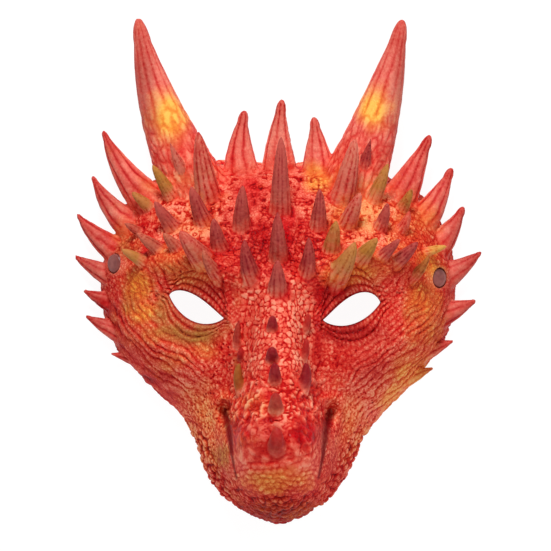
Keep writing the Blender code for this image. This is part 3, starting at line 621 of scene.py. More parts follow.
def skinRelief(p, plans):
    x, y = p[:, 0], p[:, 1]
    warp = np.column_stack([lumps(p, 9.0, 40 + k) for k in range(3)])
    small = np.column_stack([lumps(p, 3.5, 43 + k) for k in range(3)])
    q = p + warp * 1.3 + small * 0.45
    loose = p + warp * 4.5
    lx, ly = loose[:, 0], loose[:, 1]
    size, deep, places = skin["size"], skin["depth"], skin["places"]
    mixed = {"top": np.zeros(len(p)), "depth": np.zeros(len(p))}

    def lay(weight, top, depth):
        mixed["top"] = mixed["top"] * (1 - weight) + top * weight
        mixed["depth"] = mixed["depth"] * (1 - weight) + depth * weight

    # fine pebbles and pores, which is what the jowls show
    pebble, pebblePick = scales(q, size["pebbles"], 1, 0.5)
    pore = cells(q, size["pores"], 11)[0]
    pebbleTop = pebble * (0.35 + 0.3 * pebblePick) + 0.35 * smoothStep(0.1, 0.34, pore)
    lay(1.0, pebbleTop, deep["pebbles"])
    # cheek folds, broken up and knobbly
    leftFolds = folds(q, skin["leftFlow"], skin["leftSpacing"], skin["leftWaver"], 3)
    rightFolds = folds(q, skin["rightFlow"], skin["rightSpacing"], skin["rightWaver"], 4)
    nodule, nodulePick = scales(q, size["nodules"], 2, 0.55)
    breaks = np.clip(0.5 + 0.8 * lumps(p, 8.0, 9), 0, 1)
    leftWeight = (1 - smoothStep(-50, -32, lx)) * band(ly, -68, 4, 7)
    rope = leftFolds * (1 - 0.35 * breaks) + 0.35 * breaks
    lay(leftWeight, rope * (0.6 + 0.2 * nodulePick) + nodule * 0.22, deep["leftFolds"])
    rightWeight = smoothStep(30, 50, lx) * band(ly, -80, -2, 7)
    rope = rightFolds * (1 - 0.45 * breaks) + 0.45 * breaks
    lay(rightWeight, rope * (0.55 + 0.2 * nodulePick) + nodule * 0.28, deep["rightFolds"])
    # temples: leaf shapes that point to the fringe
    for sign, angle in zip((-1, 1), skin["templeTurns"]):
        leaf, leafPick = scales(turnedStretched(q, angle, 2.8), size["leaves"], 20 + sign, 0.6)
        temple = smoothStep(64, 78, sign * lx) * band(ly, -14, 70, 8) * 0.85
        lay(temple, 0.25 + leaf * (0.5 + 0.25 * leafPick), deep["leaves"])
    # forehead: wormy skin with pits at the sides and packed scales in the middle
    worms = np.zeros(len(p))
    for seed, length, stretch in ((71, 3.4, 0.7), (73, 2.6, 1.2)):
        line = np.exp(-(lumps(q * (1, stretch, 1), length, seed) / 0.2) ** 2)
        worms = np.maximum(worms, line * smoothStep(-0.05, 0.35, lumps(p, 4.2, seed + 1)))
    dimple, _, dimplePick = cells(p, size["pocks"], 12)
    pock = np.where(dimplePick > 0.55, np.exp(-(dimple / 0.24) ** 2), 0)
    pock = np.where(dimplePick < 0.16, np.exp(-((dimple - 0.34) / 0.1) ** 2), pock)
    ground = 0.92 + 0.08 * lumps(p, 2.2, 75) - 0.7 * worms - 0.7 * pock
    foreheadWeight = smoothStep(6, 18, ly) * (1 - smoothStep(62, 74, np.abs(lx)))
    lay(foreheadWeight, np.clip(ground, 0, 1), deep["worms"])
    polygon, polygonPick = scales(q + small * 0.5, size["polygons"], 7, 0.3)
    middle = (1 - smoothStep(26, 40, np.abs(lx))) * band(ly, -8, 24, 7)
    lay(middle * 0.9, polygon * (0.6 + 0.4 * polygonPick) * (1 - 0.4 * worms), deep["polygons"])
    # nose bridge: squarish scales in rows
    square, squarePick = scales(q * (0.92, 1.05, 1.0), size["nose"], 8, 0.24, 0.66)
    lay(patch(lx, ly, places["nose"]), square * (0.66 + 0.34 * squarePick), deep["nose"])
    # snout: swollen lumps, then the smoother plate
    puffed = q + small * 1.1
    nearest, second, pick = cells(puffed * (0.85, 1.1, 1.0), size["snout"], 9)
    swollen = np.clip(1.15 - nearest ** 2 * 1.7, 0, 1) ** 0.7
    swollen = swollen * (0.55 + 0.45 * smoothStep(0.0, 0.2, second - nearest))
    crinkle = np.zeros(len(p))
    for seed, length, wide in ((81, 3.4, 0.17), (85, 2.3, 0.2)):
        line = np.exp(-(lumps(puffed * (0.65, 1.3, 1.0), length, seed) / wide) ** 2)
        crinkle = np.maximum(crinkle, line * smoothStep(-0.25, 0.15, lumps(p, 4.5, seed + 1)))
    blob = 0.6 + 0.75 * lumps(puffed * (0.7, 1.2, 1.0), size["blobs"], 83) + 0.3 * lumps(p, 1.8, 84)
    snoutTop = 0.1 + 0.45 * swollen * (0.8 + 0.2 * pick) + 0.5 * np.clip(blob, 0, 1)
    lay(patch(lx, ly, places["snout"]), snoutTop * (1 - 0.75 * crinkle), deep["snout"])
    plate = patch(lx, ly, places["plate"])
    soft, _, pick = cells(puffed * (0.6, 1.0, 1.0), size["plate"], 10)
    plateTop = 0.8 + 0.2 * pick - 0.4 * smoothStep(0.4, 0.8, soft)
    lay(plate, plateTop * (1 - 0.5 * crinkle * smoothStep(-101, -96, ly)), deep["plate"])
    # chin: rows of oval scales, then knobs along the jaw
    row = (y + 1.6 * warp[:, 1] + 0.7 * small[:, 1] + 0.05 * x * x / 10) / size["ovalHigh"]
    shift = 0.5 * (np.floor(row) % 2) + 0.25 * scatter(np.column_stack((np.floor(row), row * 0, row * 0)), 3)
    wide = x / size["ovalWide"] + shift + 0.3 * warp[:, 0] + 0.3 * small[:, 0]
    oval = 1 - ((wide % 1 - 0.5) * 2) ** 2 - ((row % 1 - 0.5) * 2) ** 2
    each = scatter(np.column_stack((np.floor(wide), np.floor(row), row * 0)), 5)
    ovalTop = 0.3 + 0.7 * np.clip(oval * 0.7 + 0.45, 0, 1) * (0.7 + 0.3 * each)
    lay(patch(lx, ly, places["chin"]), ovalTop, deep["chin"])
    nearest, second, pick = cells(q * (1.0, 1.1, 1.0), size["knobs"], 13)
    knob = np.clip(1.1 - nearest ** 2 * 1.8, 0, 1) ** 0.7
    knob = knob * (0.3 + 0.7 * smoothStep(0.0, 0.2, second - nearest))
    reach = rimShare(x, y)
    low = np.maximum(smoothStep(-118, -128, ly), smoothStep(0.84, 0.92, reach) * smoothStep(-78, -92, ly))
    lay(low, knob * (0.75 + 0.25 * pick), deep["knobs"])
    # beaded folds over and under the eyes
    for name, eye in eyes.items():
        row, along, up, nearEye = lidRows(p + warp * 0.6 + small * 0.25, eye, size[name + "Lid"])
        above = smoothStep(-1.0, 1.0, up)
        roll = np.abs(np.sin(pi * row)) ** 0.55
        step = along / size["beads"] + 0.5 * np.floor(row) + 0.6 * warp[:, 0] + 0.5 * small[:, 1]
        beaded = roll * (0.6 + 0.4 * (0.5 + 0.5 * np.cos(2 * pi * step)))
        lined = roll * (0.8 + 0.2 * np.abs(np.sin(pi * (row * 3 + 0.5))))
        weight = nearEye * (1 - smoothStep(2.4 + 0.6 * above, 3.3 + 0.6 * above, row))
        smoothLid = (1 - above) * (name == "left")  # only the left lower lid has no beads
        lay(weight, beaded * (1 - smoothLid) + lined * smoothLid, deep[name + "Lid"])
    # smooth seats for the rivets
    for placeX, placeY in rivets["places"].values():
        gap = np.hypot(x - placeX, y - placeY)
        lay(1 - smoothStep(6.0, 8.0, gap), 0.8, deep["rivetSeats"])

    # spikes take over from the skin: long grooves, and leaf scales at the horns' roots
    closeness, along, turn, pick = spikeSense(p, plans)
    isSpike = 1 - smoothStep(1.05, 1.22, closeness)
    kinds = np.array([{"crown": 0, "nose": 1, "fringe": 2, "horn": 3}[plan["kind"]] for plan in plans])[pick]
    count = np.array(skin["grooves"])[kinds]
    seat = pick * 7.0
    waver = 0.7 * lumps(np.column_stack((turn, along * 2.5, seat)), 1.0, 15)
    waver = waver + 0.25 * lumps(np.column_stack((turn * 3, along * 9, seat)), 1.0, 18)
    crest = np.abs(np.sin(turn * count / 2 + pick * 1.7 + waver))
    groove = np.clip(crest * 1.25, 0, 1) ** 0.55
    strong = np.clip(0.8 + 0.6 * lumps(np.column_stack((turn * 1.3, along * 2.2, seat)), 1.0, 16), 0.3, 1)
    groove = 1 - (1 - groove) * strong * np.array(skin["grooveStrength"])[kinds]
    ripple = 0.5 + 0.5 * lumps(np.column_stack((turn * 2.5, along * 16, seat)), 1.0, 19)
    groove = groove * (0.8 + 0.2 * ripple)
    grooveDepth = np.array(skin["grooveDepth"])[kinds] * (1 - 0.55 * along)
    grooveDepth = grooveDepth * (1 - smoothStep(0.93, 1.0, along))
    hornTurn = np.where(x < 0, *skin["hornTurns"])
    rootLeaf, leafPick = scales(turnedStretched(q, hornTurn, 2.6), size["rootLeaves"], 17, 0.6)
    rooted = (kinds == 3) * (1 - smoothStep(0.4, 0.58, along + 0.1 * lumps(p, 6.0, 20)))
    spikeTop = groove * (1 - rooted) + rooted * (0.4 + 0.4 * rootLeaf + 0.12 * leafPick + 0.08 * groove)
    skinny = (kinds == 2) * (1 - smoothStep(0.12, 0.4, along)) * 0.5
    lay(isSpike * (1 - skinny), spikeTop, grooveDepth)

    height = (mixed["top"] - skin["topLevel"]) * mixed["depth"] + 0.12 * small[:, 0]
    # a broken crack round each spike's foot
    seam = np.exp(-((closeness - 1.16) / 0.09) ** 2) * (kinds < 2)
    seam = seam * np.clip(0.45 + 0.7 * lumps(p, 4.0, 36), 0, 1)
    height = height - skin["seamDepth"] * seam
    for line in skin["creases"]:
        gap = nearLine(x, y, line)[0]
        height = height + skin["creaseRise"] * np.exp(-(gap / skin["creaseWidth"]) ** 2)
    pits = np.zeros(len(p))
    hollow = cells(p, size["pits"], 50)[0]
    for pitX, pitY, wide in skin["pits"]:
        near = np.exp(-(np.hypot(x - pitX, y - pitY) / wide) ** 2)
        pits = np.maximum(pits, near * (1 - smoothStep(0.15, 0.5, hollow)))
    height = height - skin["pitDepth"] * pits
    # a raised ridge down the left side of the nose
    noseSide = np.exp(-((x - skin["noseSideX"] - 0.6 * warp[:, 0]) / 1.6) ** 2) * band(y, -66, -22, 5)
    height = height + skin["noseSideRise"] * noseSide * (1 - isSpike)
    # the crease across the plate
    lineY = skin["mouthY"] + np.sin(x * 0.16)
    mouth = np.exp(-((y - lineY - 0.8 * small[:, 1]) / skin["mouthWidth"]) ** 2) * band(x, -15, 17, 3) * plate
    mouth = mouth * np.clip(0.45 + 0.8 * lumps(p, 3.5, 37), 0, 1)
    height = height - skin["mouthDepth"] * mouth
    # painted shadow: deeper red on one side of each crown spike's foot (the +x side for a spike that points
    # up), as if the spike cast it
    spikeShadow = np.exp(-((closeness - 1.1) / 0.45) ** 2) * (0.5 - 0.5 * np.cos(turn)) * (kinds == 0)
    parts = {"top": mixed["top"] * (1 - 0.8 * mouth), "seam": seam, "pits": pits, "isSpike": isSpike,
             "along": along, "pick": pick, "kinds": kinds, "spikeShadow": spikeShadow}
    return height, parts


# Build the skin

plans = spikePlans()
body = formGrid(carvedHeight, face["cells"])
closeBelow(body, face["skirt"])
addSpikes(body, plans)
bmesh.ops.recalc_face_normals(body, faces=body.faces)
maskSkin = newObject("maskSkin", body)
fuse = maskSkin.modifiers.new("fuse", "REMESH")
fuse.mode = "VOXEL"
fuse.voxel_size = face["voxel"] * mm
applied(maskSkin)
print("skin fused,", len(maskSkin.data.polygons), "faces")

place = vectors(maskSkin.data.vertices, "co") / mm
direction = vectors(maskSkin.data.vertex_normals, "vector")
height, parts = skinRelief(place, plans)
fade = smoothStep(-5, -1, place[:, 2])
place = place + direction * (height * fade)[:, None]
low, high = np.array(cadBox[0]) / mm, np.array(cadBox[1]) / mm
place = np.clip(place, low + (0.1, 0.1, -20), high - 0.1)
maskSkin.data.vertices.foreach_set("co", (place * mm).ravel())
maskSkin.data.update()
print("relief carved")
thinned(maskSkin, face["triangles"])
cutFlat(maskSkin)
print("skin thinned,", len(maskSkin.data.polygons), "faces")


cavity = formGrid(lambda x, y: broadHeight(x, y, face["wall"]) - nostrilSlit(x, y)[0],
                  face["cavityCells"], face["wall"])
closeBelow(cavity, face["cavitySkirt"])
cutters = [newObject("cavity", cavity)]
thinned(cutters[0], face["cavityTriangles"])
cutters += [eyeCutter("eyeHole" + side, eye) for side, eye in eyes.items()]
cutters += [rivetCutter(side) for side in rivets["places"]]
for cutter in cutters:
    cut = maskSkin.modifiers.new("cut by " + cutter.name, "BOOLEAN")
    cut.operation = "DIFFERENCE"
    cut.solver = "MANIFOLD"
    cut.object = cutter
applied(maskSkin)
for cutter in cutters:
    bpy.data.objects.remove(cutter)
bm = bmesh.new()
bm.from_mesh(maskSkin.data)
bmesh.ops.triangulate(bm, faces=bm.faces)
bmesh.ops.remove_doubles(bm, verts=bm.verts, dist=0.03 * mm)
bmesh.ops.dissolve_degenerate(bm, edges=bm.edges, dist=0.003 * mm)
bm.to_mesh(maskSkin.data)
print("skin hollowed,", len(bm.faces), "triangles,",
      sum(1 for edge in bm.edges if not edge.is_manifold), "open edges")
bm.free()

# Paint, laid on as one number for each point and each colour: x, y, reach across, reach up, strength
paint = {
    "yellow": [
        (-60.5, 86, 10.5, 12.5, 1.0), (53, 90.5, 8.5, 11, 1.0), (-77.5, -7.5, 7, 9, 0.9),
        (-75, -22.5, 8, 9, 0.8), (-70, -35, 8, 8, 0.4), (22.5, 52, 7, 9, 0.75), (34.7, 51, 6, 8, 0.4),
        (40, 27.5, 14, 7, 0.5), (83.6, 5.3, 7, 9, 0.9), (79, -16, 9, 12, 0.75), (82, 31, 8, 10, 0.5),
        (76, -57.5, 14, 14, 0.6), (65, -71, 12, 10, 0.55), (80, -30, 10, 16, 0.5), (0, -114.7, 20, 7, 0.6),
        (-32, -103.6, 5, 8, 0.5), (-48.6, 5.3, 12, 3.5, 0.4), (41, -1, 20, 6, 0.6), (-40, -43.6, 10, 6, 0.4),
        (-48, -3, 16, 6, 0.45), (-56, 5, 18, 9, 0.45), (-60, -50, 14, 6, 0.3), (-52, 34, 24, 22, 0.2),
        (-84, 20, 8, 8, 0.35), (48, 32, 22, 18, 0.36), (44, 6, 22, 8, 0.4), (70, 20, 14, 20, 0.4),
        (-14, -72, 12, 8, 0.25), (-62, -30, 26, 16, 0.3), (42, -86, 12, 20, 0.3), (6, -130, 30, 8, 0.25),
        (-38, -84, 16, 26, 0.35),
    ],
    "olive": [
        (-48.6, -35, 20, 5, 0.8), (-62.5, -21, 6, 9, 0.5), (-85, 12, 6, 5, 0.5), (-82, -16, 5, 6, 0.4),
        (73.6, -24, 5, 5, 0.4), (-21.4, -57.5, 2.5, 9, 0.8), (-1.4, -110, 18, 6, 0.12),
        (-31, -102, 4, 6, 0.4), (-56, 1, 14, 7, 0.3),
    ],
    "deep": [
        (4, 26, 8, 24, 0.9), (-8.6, 20, 5, 10, 0.8), (-15, 37, 5, 7, 0.6), (-25, 31, 5, 6, 0.6),
        (11, 45, 3, 12, 0.5), (-34.7, 14.7, 7, 5, 0.5), (-95, -20, 7, 5, 0.9), (-90, -42.5, 9, 5, 0.8),
        (-71, -59, 12, 5, 0.8), (-61, -68.6, 8, 6, 0.5), (88.6, -37, 5, 3.5, 0.9), (79, -51, 7, 3, 0.8),
        (96, -30, 5, 8, 0.6), (22.5, -38, 3.5, 20, 0.8), (24.7, -16, 6, 12, 0.9), (40, -35, 17, 5, 0.75),
        (-20.8, -89, 7, 8, 1.0), (14.5, -89, 10, 7, 1.0), (-3, -98, 16, 4, 0.7), (-2, -81, 5, 3, 0.8),
        (1.4, -134, 30, 10, 1.0), (0, -121, 24, 5, 0.5), (-80, -54, 22, 10, 0.3), (-84, -46, 18, 10, 0.45),
        (28, 42, 14, 14, 0.4), (66, 46, 10, 10, 0.4), (-6, -92, 22, 10, 0.6), (-93, 22, 6, 7, 0.7),
        (40, -33, 19, 6, 0.8), (-14, 44, 13, 12, 0.8), (14, 44, 8, 10, 0.5), (-4, 16, 26, 18, 0.48),
        (-86, -28, 12, 14, 0.35), (48, -50, 16, 10, 0.65), (86, -24, 12, 22, 0.5), (-8, 30, 20, 20, 0.4),
        (74, 52, 8, 20, 0.4), (-78, 45, 8, 16, 0.3), (-44, -122, 9, 9, 0.5), (40, -124, 8, 12, 0.6),
        (-29, -16, 4, 10, 0.5),
    ],
    # lighter raised parts in these places: partly lighter paint, partly painted highlight
    "paleAndHighlight": [
        (-52, 38, 26, 24, 0.5), (50, 32, 24, 20, 0.6), (36, 4, 22, 8, 0.7), (-66, 100, 16, 40, 0.35),
        (62, 100, 16, 40, 0.35), (0, -72, 28, 11, 0.9), (10, -30, 16, 22, 0.5), (52, -86, 24, 30, 1.6),
        (-42, -90, 16, 28, 2.2), (-20, 58, 12, 12, 0.4), (-24.5, -46, 3, 20, 0.8), (70, -66, 16, 10, 0.7),
        (80, -10, 16, 20, 0.2), (8, 84, 34, 16, 1.5), (-60, 86, 10, 12, 1.6), (53, 90, 9, 11, 1.6),
    ],
    "shade": [
        (-46, -27, 24, 9, 0.7), (-46, -8, 20, 6, 0.25), (42, -33, 22, 8, 0.7), (44, -11, 18, 6, 0.2),
        (-104, -10, 14, 60, 0.6), (108, 20, 18, 70, 0.6), (0, -136, 36, 8, 0.6), (-6, -95, 12, 8, 0.3),
        (-30, -108, 5, 14, 0.3), (30, -110, 5, 14, 0.2), (-96, 50, 12, 30, 0.5),
        (-75, 108, 7, 36, 0.7), (69, 104, 7, 36, 0.7),
    ],
    "pitted": [
        (-40, -85, 14, 32, 0.75), (-27, -48, 5, 12, 1.0), (46, -85, 14, 30, 0.7), (-52, 20, 26, 18, 0.5),
        (-45, 50, 20, 10, 0.5), (-70, -14, 8, 8, 0.5), (20, 45, 20, 10, 0.35), (-2, -92, 20, 10, 0.3),
        (45, -45, 20, 14, 0.4),
    ],
    "firmness": 1.3, "raggedness": 3.0, "ragSize": 7.0,
    "spikes": {  # maroon, olive and yellow share of each spike paint
        "maroon": (0.95, 0.0, 0.0), "dusk": (0.55, 0.1, 0.1), "brown": (0.65, 0.35, 0.0),
        "olive": (0.1, 0.85, 0.0), "red": (0.3, 0.0, 0.0), "golden": (0.1, 0.35, 0.8), "skin": (0, 0, 0),
    },
    "rosy": 0.5, "fringeTips": 0.55, "hornTips": 0.35, "tipShade": 0.4,
    # nostril: half width of the dark paint at shares of its length, from the top
    "nostrilShares": (0, 0.12, 0.4, 0.7, 1), "nostrilWidths": (1.2, 2.6, 1.8, 0.8, 0.6),
    "nostrilDark": 0.9, "rightNostril": 1.25, "eyeRim": 0.55, "eyeRimWidth": 1.4,
    "paleAndHighlightLift": 0.18, "spikeVariety": 0.3, "noseSpikeDrop": 0.45, "hornDrop": 0.08, "seamDrop": 0.7,
    "muzzleSides": (20, 30, 2, -120, -72, 5), "smoother": (-24, 22, 4, -112, 0, 6),
    "insideFrom": 1.2, "sharpAngle": 1.3,
}


# the strongest of a colour's spots at each point
def spots(p, name, firmness):
    total = np.zeros(len(p))
    for x, y, reachX, reachY, strength in paint[name]:
        near = np.exp(-((p[:, 0] - x) / reachX) ** 2 - ((p[:, 1] - y) / reachY) ** 2)
        total = np.maximum(total, strength * np.clip(near * firmness, 0, 1))
    return total


def paintShares(p, parts, inside):
    x, y = p[:, 0], p[:, 1]
    ragged = p + np.column_stack([lumps(p, paint["ragSize"], 60 + k) for k in range(3)]) * paint["raggedness"]
    shares = {name: spots(ragged, name, paint["firmness"]) for name in ("yellow", "olive", "deep", "pitted")}
    kinds, along, isSpike = parts["kinds"], parts["along"], parts["isSpike"]
    painted = isSpike * smoothStep(-0.02, 0.4, along + 0.12 * lumps(p, 3.0, 66)) * (kinds < 2)
    recipes = np.array([paint["spikes"][plan["paint"]] for plan in plans])[parts["pick"]]
    shares["maroon"] = painted * recipes[:, 0]
    shares["olive"] = np.maximum(shares["olive"] * (1 - painted), painted * recipes[:, 1])
    shares["yellow"] = np.maximum(shares["yellow"] * (1 - painted), painted * recipes[:, 2])
    # the painted shadow beside the crown spikes' feet goes in with the deep red paint
    shares["deep"] = np.maximum(shares["deep"], parts["spikeShadow"]) * (1 - painted * 0.8)
    shares["rosy"] = paint["rosy"] * isSpike * (kinds >= 2) * smoothStep(0.1, 0.45, along)
    tips = isSpike * (kinds >= 2) * smoothStep(np.where(kinds == 2, 0.35, 0.45), 1.0, along)
    tipPaint = np.where(kinds == 2, paint["fringeTips"], paint["hornTips"])
    shares["deep"] = np.maximum(shares["deep"], tips * tipPaint)
    # dark paint in the nostrils, round the eye holes and in the pits
    gap, run, _, whole = nearLine(np.abs(x), y, face["nostril"])
    wide = np.interp(run / whole, paint["nostrilShares"], paint["nostrilWidths"])
    wide = wide * np.where(x > 0, paint["rightNostril"], 1.0)
    dark = paint["nostrilDark"] * (1 - smoothStep(0.3, 1.3, gap / wide + 0.25 * lumps(p, 2.0, 67)))
    for eye in eyes.values():
        outline = eyeOutline(eye)
        gap = nearLine(x, y, outline + outline[:1])[0]
        dark = np.maximum(dark, paint["eyeRim"] * (1 - smoothStep(0.2, paint["eyeRimWidth"], gap)))
    shares["dark"] = np.maximum(dark, parts["pits"])
    shares["shade"] = np.maximum(spots(ragged, "shade", 1.0), tips * paint["tipShade"])
    # how high a point lies in its pattern, which picks its tone
    own = scatter(np.column_stack((parts["pick"], parts["pick"] * 0, parts["pick"] * 0)), 91) - 0.5
    # painted highlight together with lighter paint: the raised parts in the listed places are lifted towards
    # the lightest tone
    top = parts["top"] + paint["paleAndHighlightLift"] * spots(ragged, "paleAndHighlight", 1.0) * smoothStep(0.3, 0.8, parts["top"])
    top = top + paint["spikeVariety"] * own * painted * (kinds == 0)
    top = top * (1 - paint["noseSpikeDrop"] * painted * (kinds == 1))
    top = top * (1 - paint["hornDrop"] * isSpike * (kinds >= 2))
    shares["top"] = np.clip(top * (1 - paint["seamDrop"] * parts["seam"]), 0, 1)
    shares["pitted"] = shares["pitted"] * (1 - isSpike)
    shares["inside"] = inside
    # where the skin is matt, and where its finest pebbles show
    matt = smoothStep(0.5, 0.85, rimShare(x, y)) * (1 - isSpike)
    shares["matt"] = np.maximum(matt, patch(np.abs(x + 1), y, paint["muzzleSides"]))
    smoother = patch(x, y, paint["smoother"])
    shares["fine"] = (1 - 0.65 * smoother) * (1 - 0.75 * isSpike) * (1 - 0.5 * shares["pitted"])
    return shares


final = vectors(maskSkin.data.vertices, "co") / mm
tree = KDTree(len(place))
for i, point in enumerate(place):
    tree.insert(point, i)
tree.balance()
found = [tree.find(point) for point in final]
source = np.array([hit[1] for hit in found])
inside = (np.array([hit[2] for hit in found]) > paint["insideFrom"]).astype(float)
nearest = {name: values[source] for name, values in parts.items()}
for name, values in paintShares(final, nearest, inside).items():
    layer = maskSkin.data.attributes.new(name, "FLOAT", "POINT")
    layer.data.foreach_set("value", np.ascontiguousarray(values, dtype=np.float32))
maskSkin.data.shade_smooth()
maskSkin.data.set_sharp_from_angle(angle=paint["sharpAngle"])
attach(maskSkin, "root")
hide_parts("mask")
print("skin painted")


# Materials


def colour(red, green, blue):
    values = [v / 255 for v in (red, green, blue)]
    return [v / 12.92 if v <= 0.04045 else ((v + 0.055) / 1.055) ** 2.4 for v in values] + [1.0]


def node(tree, kind, inputs=None, **settings):
    made = tree.nodes.new(kind)
    for name, value in settings.items():
        setattr(made, name, value)
    for key, value in (inputs or {}).items():
        if isinstance(value, bpy.types.NodeSocket):
            tree.links.new(value, made.inputs[key])
        else:
            made.inputs[key].default_value = value
    return made


def ramp(tree, fac, stops):
    made = node(tree, "ShaderNodeValToRGB", {"Fac": fac})
    elements = made.color_ramp.elements
    while len(elements) < len(stops):
        elements.new(0.5)
    for element, (place, shade) in zip(elements, stops):
        element.position = place
        element.color = colour(*shade)
    return made.outputs["Color"]


def blended(tree, fac, first, second):
    return node(tree, "ShaderNodeMix", {0: fac, 6: first, 7: second}, data_type="RGBA").outputs[2]


def maths(tree, operation, first, second=0.5, third=0.5):
    return node(tree, "ShaderNodeMath", {0: first, 1: second, 2: third}, operation=operation).outputs[0]


def noise(tree, where, scale, detail, output="Fac"):
    made = node(tree, "ShaderNodeTexNoise", {"Vector": where, "Scale": scale, "Detail": detail})
    return made.outputs[output]


def voronoi(tree, where, scale, feature="F1"):
    made = node(tree, "ShaderNodeTexVoronoi", {"Vector": where, "Scale": scale}, feature=feature)
    return made.outputs["Distance"]


def spanned(tree, value, low, high):
    made = node(tree, "ShaderNodeMapRange", {"Value": value, "From Min": low, "From Max": high})
    return made.outputs["Result"]


def share(tree, name):
    return node(tree, "ShaderNodeAttribute", attribute_name=name).outputs["Fac"]


def newMaterial(name):
    made = bpy.data.materials.new(name)
    made.use_nodes = True
    return made, made.node_tree, made.node_tree.nodes["Principled BSDF"]


foamPaint = {
    "skin": [(0.0, (134, 0, 4)), (0.3, (204, 10, 14)), (0.55, (224, 58, 44)), (0.8, (244, 108, 84)),
             (1.0, (255, 158, 128))],
    "deep": [(0.0, (104, 0, 6)), (0.45, (176, 0, 10)), (0.8, (206, 8, 18)), (1.0, (226, 44, 42))],
    "yellow": [(0.0, (176, 40, 16)), (0.4, (224, 94, 36)), (0.8, (246, 150, 58)), (1.0, (254, 196, 90))],
    "rosy": [(0.0, (150, 14, 30)), (0.5, (206, 56, 58)), (1.0, (242, 128, 118))],
    "olive": [(0.0, (84, 26, 10)), (0.45, (146, 80, 30)), (1.0, (186, 128, 52))],
    "maroon": [(0.0, (86, 0, 12)), (0.5, (142, 24, 34)), (1.0, (186, 76, 68))],
    "dark": (124, 6, 10), "shade": (112, 20, 16), "inside": (168, 84, 66),
    "firm": ("rosy", "maroon"),  # colours whose edges aren't broken up by the blotches
    "edgeWander": 0.7, "edge": (0.1, 0.95), "shading": 0.6,
    "blotches": 70.0, "grains": 520.0, "pebbles": 560.0, "dots": 440.0, "cracks": 560.0, "strays": 300.0,
    "wear": 0.4, "dotSize": (0.34, 0.16), "dotDepth": 0.8,
    "crackBend": 0.0022, "crackWidth": (0.2, 0.02), "crackDepth": 0.24, "crackOffset": -0.05,
    "roughness": 0.45, "roughSpread": 0.3, "wetness": 0.2, "mattness": 0.3, "specular": 0.09,
    "grainRise": 0.8, "pebbleRise": 0.7, "crackDrop": 0.8, "bump": 0.45, "bumpDepth": 0.0006,
}


def paintedFoam():
    made, tree, shader = newMaterial("paintedFoam")
    look = foamPaint
    where = node(tree, "ShaderNodeTexCoord").outputs["Object"]
    blotch = noise(tree, where, look["blotches"], 4.0)
    grain = noise(tree, where, look["grains"], 3.0)
    pebbles = voronoi(tree, where, look["pebbles"])
    dots = voronoi(tree, where, look["dots"])
    # tone: the height in the pattern, worn, specked, pitted and cracked
    worn = maths(tree, "MULTIPLY_ADD", blotch, look["wear"], -look["wear"] / 2)
    speck = maths(tree, "MULTIPLY_ADD", grain, look["wear"], -look["wear"] / 2)
    top = maths(tree, "ADD", maths(tree, "ADD", share(tree, "top"), worn), speck)
    pit = maths(tree, "MULTIPLY", spanned(tree, dots, *look["dotSize"]), share(tree, "pitted"))
    top = maths(tree, "SUBTRACT", top, maths(tree, "MULTIPLY", pit, look["dotDepth"]))
    stray = noise(tree, where, look["strays"], 2.0, "Color")
    bent = node(tree, "ShaderNodeMix", {0: look["crackBend"], 4: where, 5: stray}, data_type="VECTOR")
    edges = voronoi(tree, bent.outputs[1], look["cracks"], "DISTANCE_TO_EDGE")
    crack = spanned(tree, edges, *look["crackWidth"])
    crack = maths(tree, "MULTIPLY", crack, share(tree, "fine"))
    drop = maths(tree, "MULTIPLY_ADD", crack, look["crackDepth"], look["crackOffset"])
    top = maths(tree, "SUBTRACT", top, drop)
    base = ramp(tree, top, look["skin"])
    for name in ("rosy", "deep", "yellow", "olive", "maroon"):
        amount = share(tree, name)
        if name not in look["firm"]:
            edge = maths(tree, "MULTIPLY_ADD", blotch, look["edgeWander"], -look["edgeWander"] / 2)
            amount = spanned(tree, maths(tree, "ADD", amount, edge), *look["edge"])
        base = blended(tree, amount, base, ramp(tree, top, look[name]))
    base = blended(tree, maths(tree, "MULTIPLY", share(tree, "shade"), look["shading"]), base,
                   colour(*look["shade"]))
    for name in ("dark", "inside"):
        base = blended(tree, share(tree, name), base, colour(*look[name]))
    tree.links.new(base, shader.inputs["Base Color"])
    spread = look["roughSpread"]
    shine = maths(tree, "MULTIPLY_ADD", grain, spread, look["roughness"] - spread / 2)
    shine = maths(tree, "MULTIPLY_ADD", share(tree, "deep"), -look["wetness"], shine)
    shine = maths(tree, "MULTIPLY_ADD", share(tree, "matt"), look["mattness"], shine)
    tree.links.new(maths(tree, "MAXIMUM", shine, share(tree, "dark")), shader.inputs["Roughness"])
    shader.inputs["Specular IOR Level"].default_value = look["specular"]
    pebbles = maths(tree, "MULTIPLY", pebbles, look["pebbleRise"])
    relief = maths(tree, "MULTIPLY_ADD", grain, look["grainRise"], pebbles)
    hollow = maths(tree, "ADD", pit, maths(tree, "MULTIPLY", crack, look["crackDrop"]))
    relief = maths(tree, "SUBTRACT", relief, hollow)
    bump = node(tree, "ShaderNodeBump", {"Height": relief, "Strength": look["bump"],
                                         "Distance": look["bumpDepth"]})
    tree.links.new(bump.outputs["Normal"], shader.inputs["Normal"])
    return made


rivetPaint = {
    "low": (0.3, (116, 48, 46)), "high": (0.75, (158, 86, 78)), "smears": 260.0, "grains": 1400.0,
    "roughness": 0.4, "roughSpread": 0.2, "bump": 0.15, "bumpDepth": 0.0002,
}


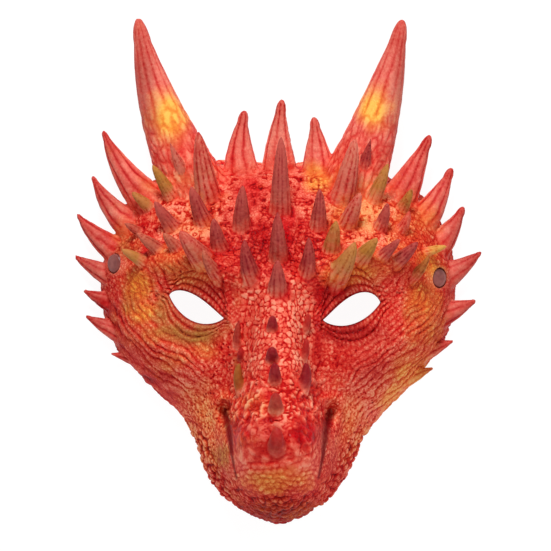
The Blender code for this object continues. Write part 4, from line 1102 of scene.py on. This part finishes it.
def rivetPlastic():
    made, tree, shader = newMaterial("rivetPlastic")
    look = rivetPaint
    where = node(tree, "ShaderNodeTexCoord").outputs["Object"]
    smear = noise(tree, where, look["smears"], 3.0)
    tree.links.new(ramp(tree, smear, [look["low"], look["high"]]), shader.inputs["Base Color"])
    spread = look["roughSpread"]
    shine = maths(tree, "MULTIPLY_ADD", smear, spread, look["roughness"] - spread / 2)
    tree.links.new(shine, shader.inputs["Roughness"])
    bump = node(tree, "ShaderNodeBump", {"Height": noise(tree, where, look["grains"], 2.0),
                                         "Strength": look["bump"], "Distance": look["bumpDepth"]})
    tree.links.new(bump.outputs["Normal"], shader.inputs["Normal"])
    return made


maskSkin.data.materials.clear()
maskSkin.data.materials.append(paintedFoam())
button = rivetPlastic()
for side in rivets["places"]:
    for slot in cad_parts["strap_rivet_" + side].material_slots:
        slot.material = button
print("materials made")


# Floor, lights and camera
studio = {
    "floor": 8.0, "floorShade": (0.12, 0.12, 0.12), "floorRoughness": 0.9, "floorGlow": 0.94,
    "white": (1, 1, 1, 1), "world": 0.25,
    # place in metres, size, watts
    "lamps": [((-0.15, 1.15, 1.2), 0.45, 20.0), ((1.3, 0.5, 1.2), 0.8, 4.5), ((0.1, -1.15, 1.4), 1.0, 8.0)],
    "middle": (-1.1, -2.2), "frameWidth": 306.1, "distance": 4000.0, "sensor": 36.0, "farthest": 50.0,
}

bm = bmesh.new()
bmesh.ops.create_grid(bm, x_segments=2, y_segments=2, size=studio["floor"] / 2)
floor = newObject("floor", bm)
paper, _, sheet = newMaterial("floorPaper")
sheet.inputs["Base Color"].default_value = (*studio["floorShade"], 1.0)
sheet.inputs["Roughness"].default_value = studio["floorRoughness"]
sheet.inputs["Emission Color"].default_value = studio["white"]
sheet.inputs["Emission Strength"].default_value = studio["floorGlow"]
floor.data.materials.append(paper)

world = bpy.data.worlds.new("studio")
world.use_nodes = True
sky = world.node_tree.nodes["Background"]
sky.inputs["Color"].default_value = studio["white"]
sky.inputs["Strength"].default_value = studio["world"]
bpy.context.scene.world = world
for number, (lampPlace, size, watts) in enumerate(studio["lamps"]):
    lamp = bpy.data.lights.new("softbox" + str(number), "AREA")
    lamp.shape = "DISK"
    lamp.size = size
    lamp.energy = watts
    holder = bpy.data.objects.new(lamp.name, lamp)
    holder.location = lampPlace
    holder.rotation_euler = (-Vector(lampPlace)).to_track_quat("-Z", "Y").to_euler()
    bpy.context.scene.collection.objects.link(holder)

camera = bpy.data.cameras.new("camera")
camera.sensor_width = studio["sensor"]
camera.lens = studio["sensor"] * studio["distance"] / studio["frameWidth"]
camera.clip_end = studio["farthest"]
viewer = bpy.data.objects.new("camera", camera)
viewer.location = (studio["middle"][0] * mm, studio["middle"][1] * mm, studio["distance"] * mm)
bpy.context.scene.collection.objects.link(viewer)
bpy.context.scene.camera = viewer
bpy.context.scene.view_settings.view_transform = "Standard"
print("studio set")
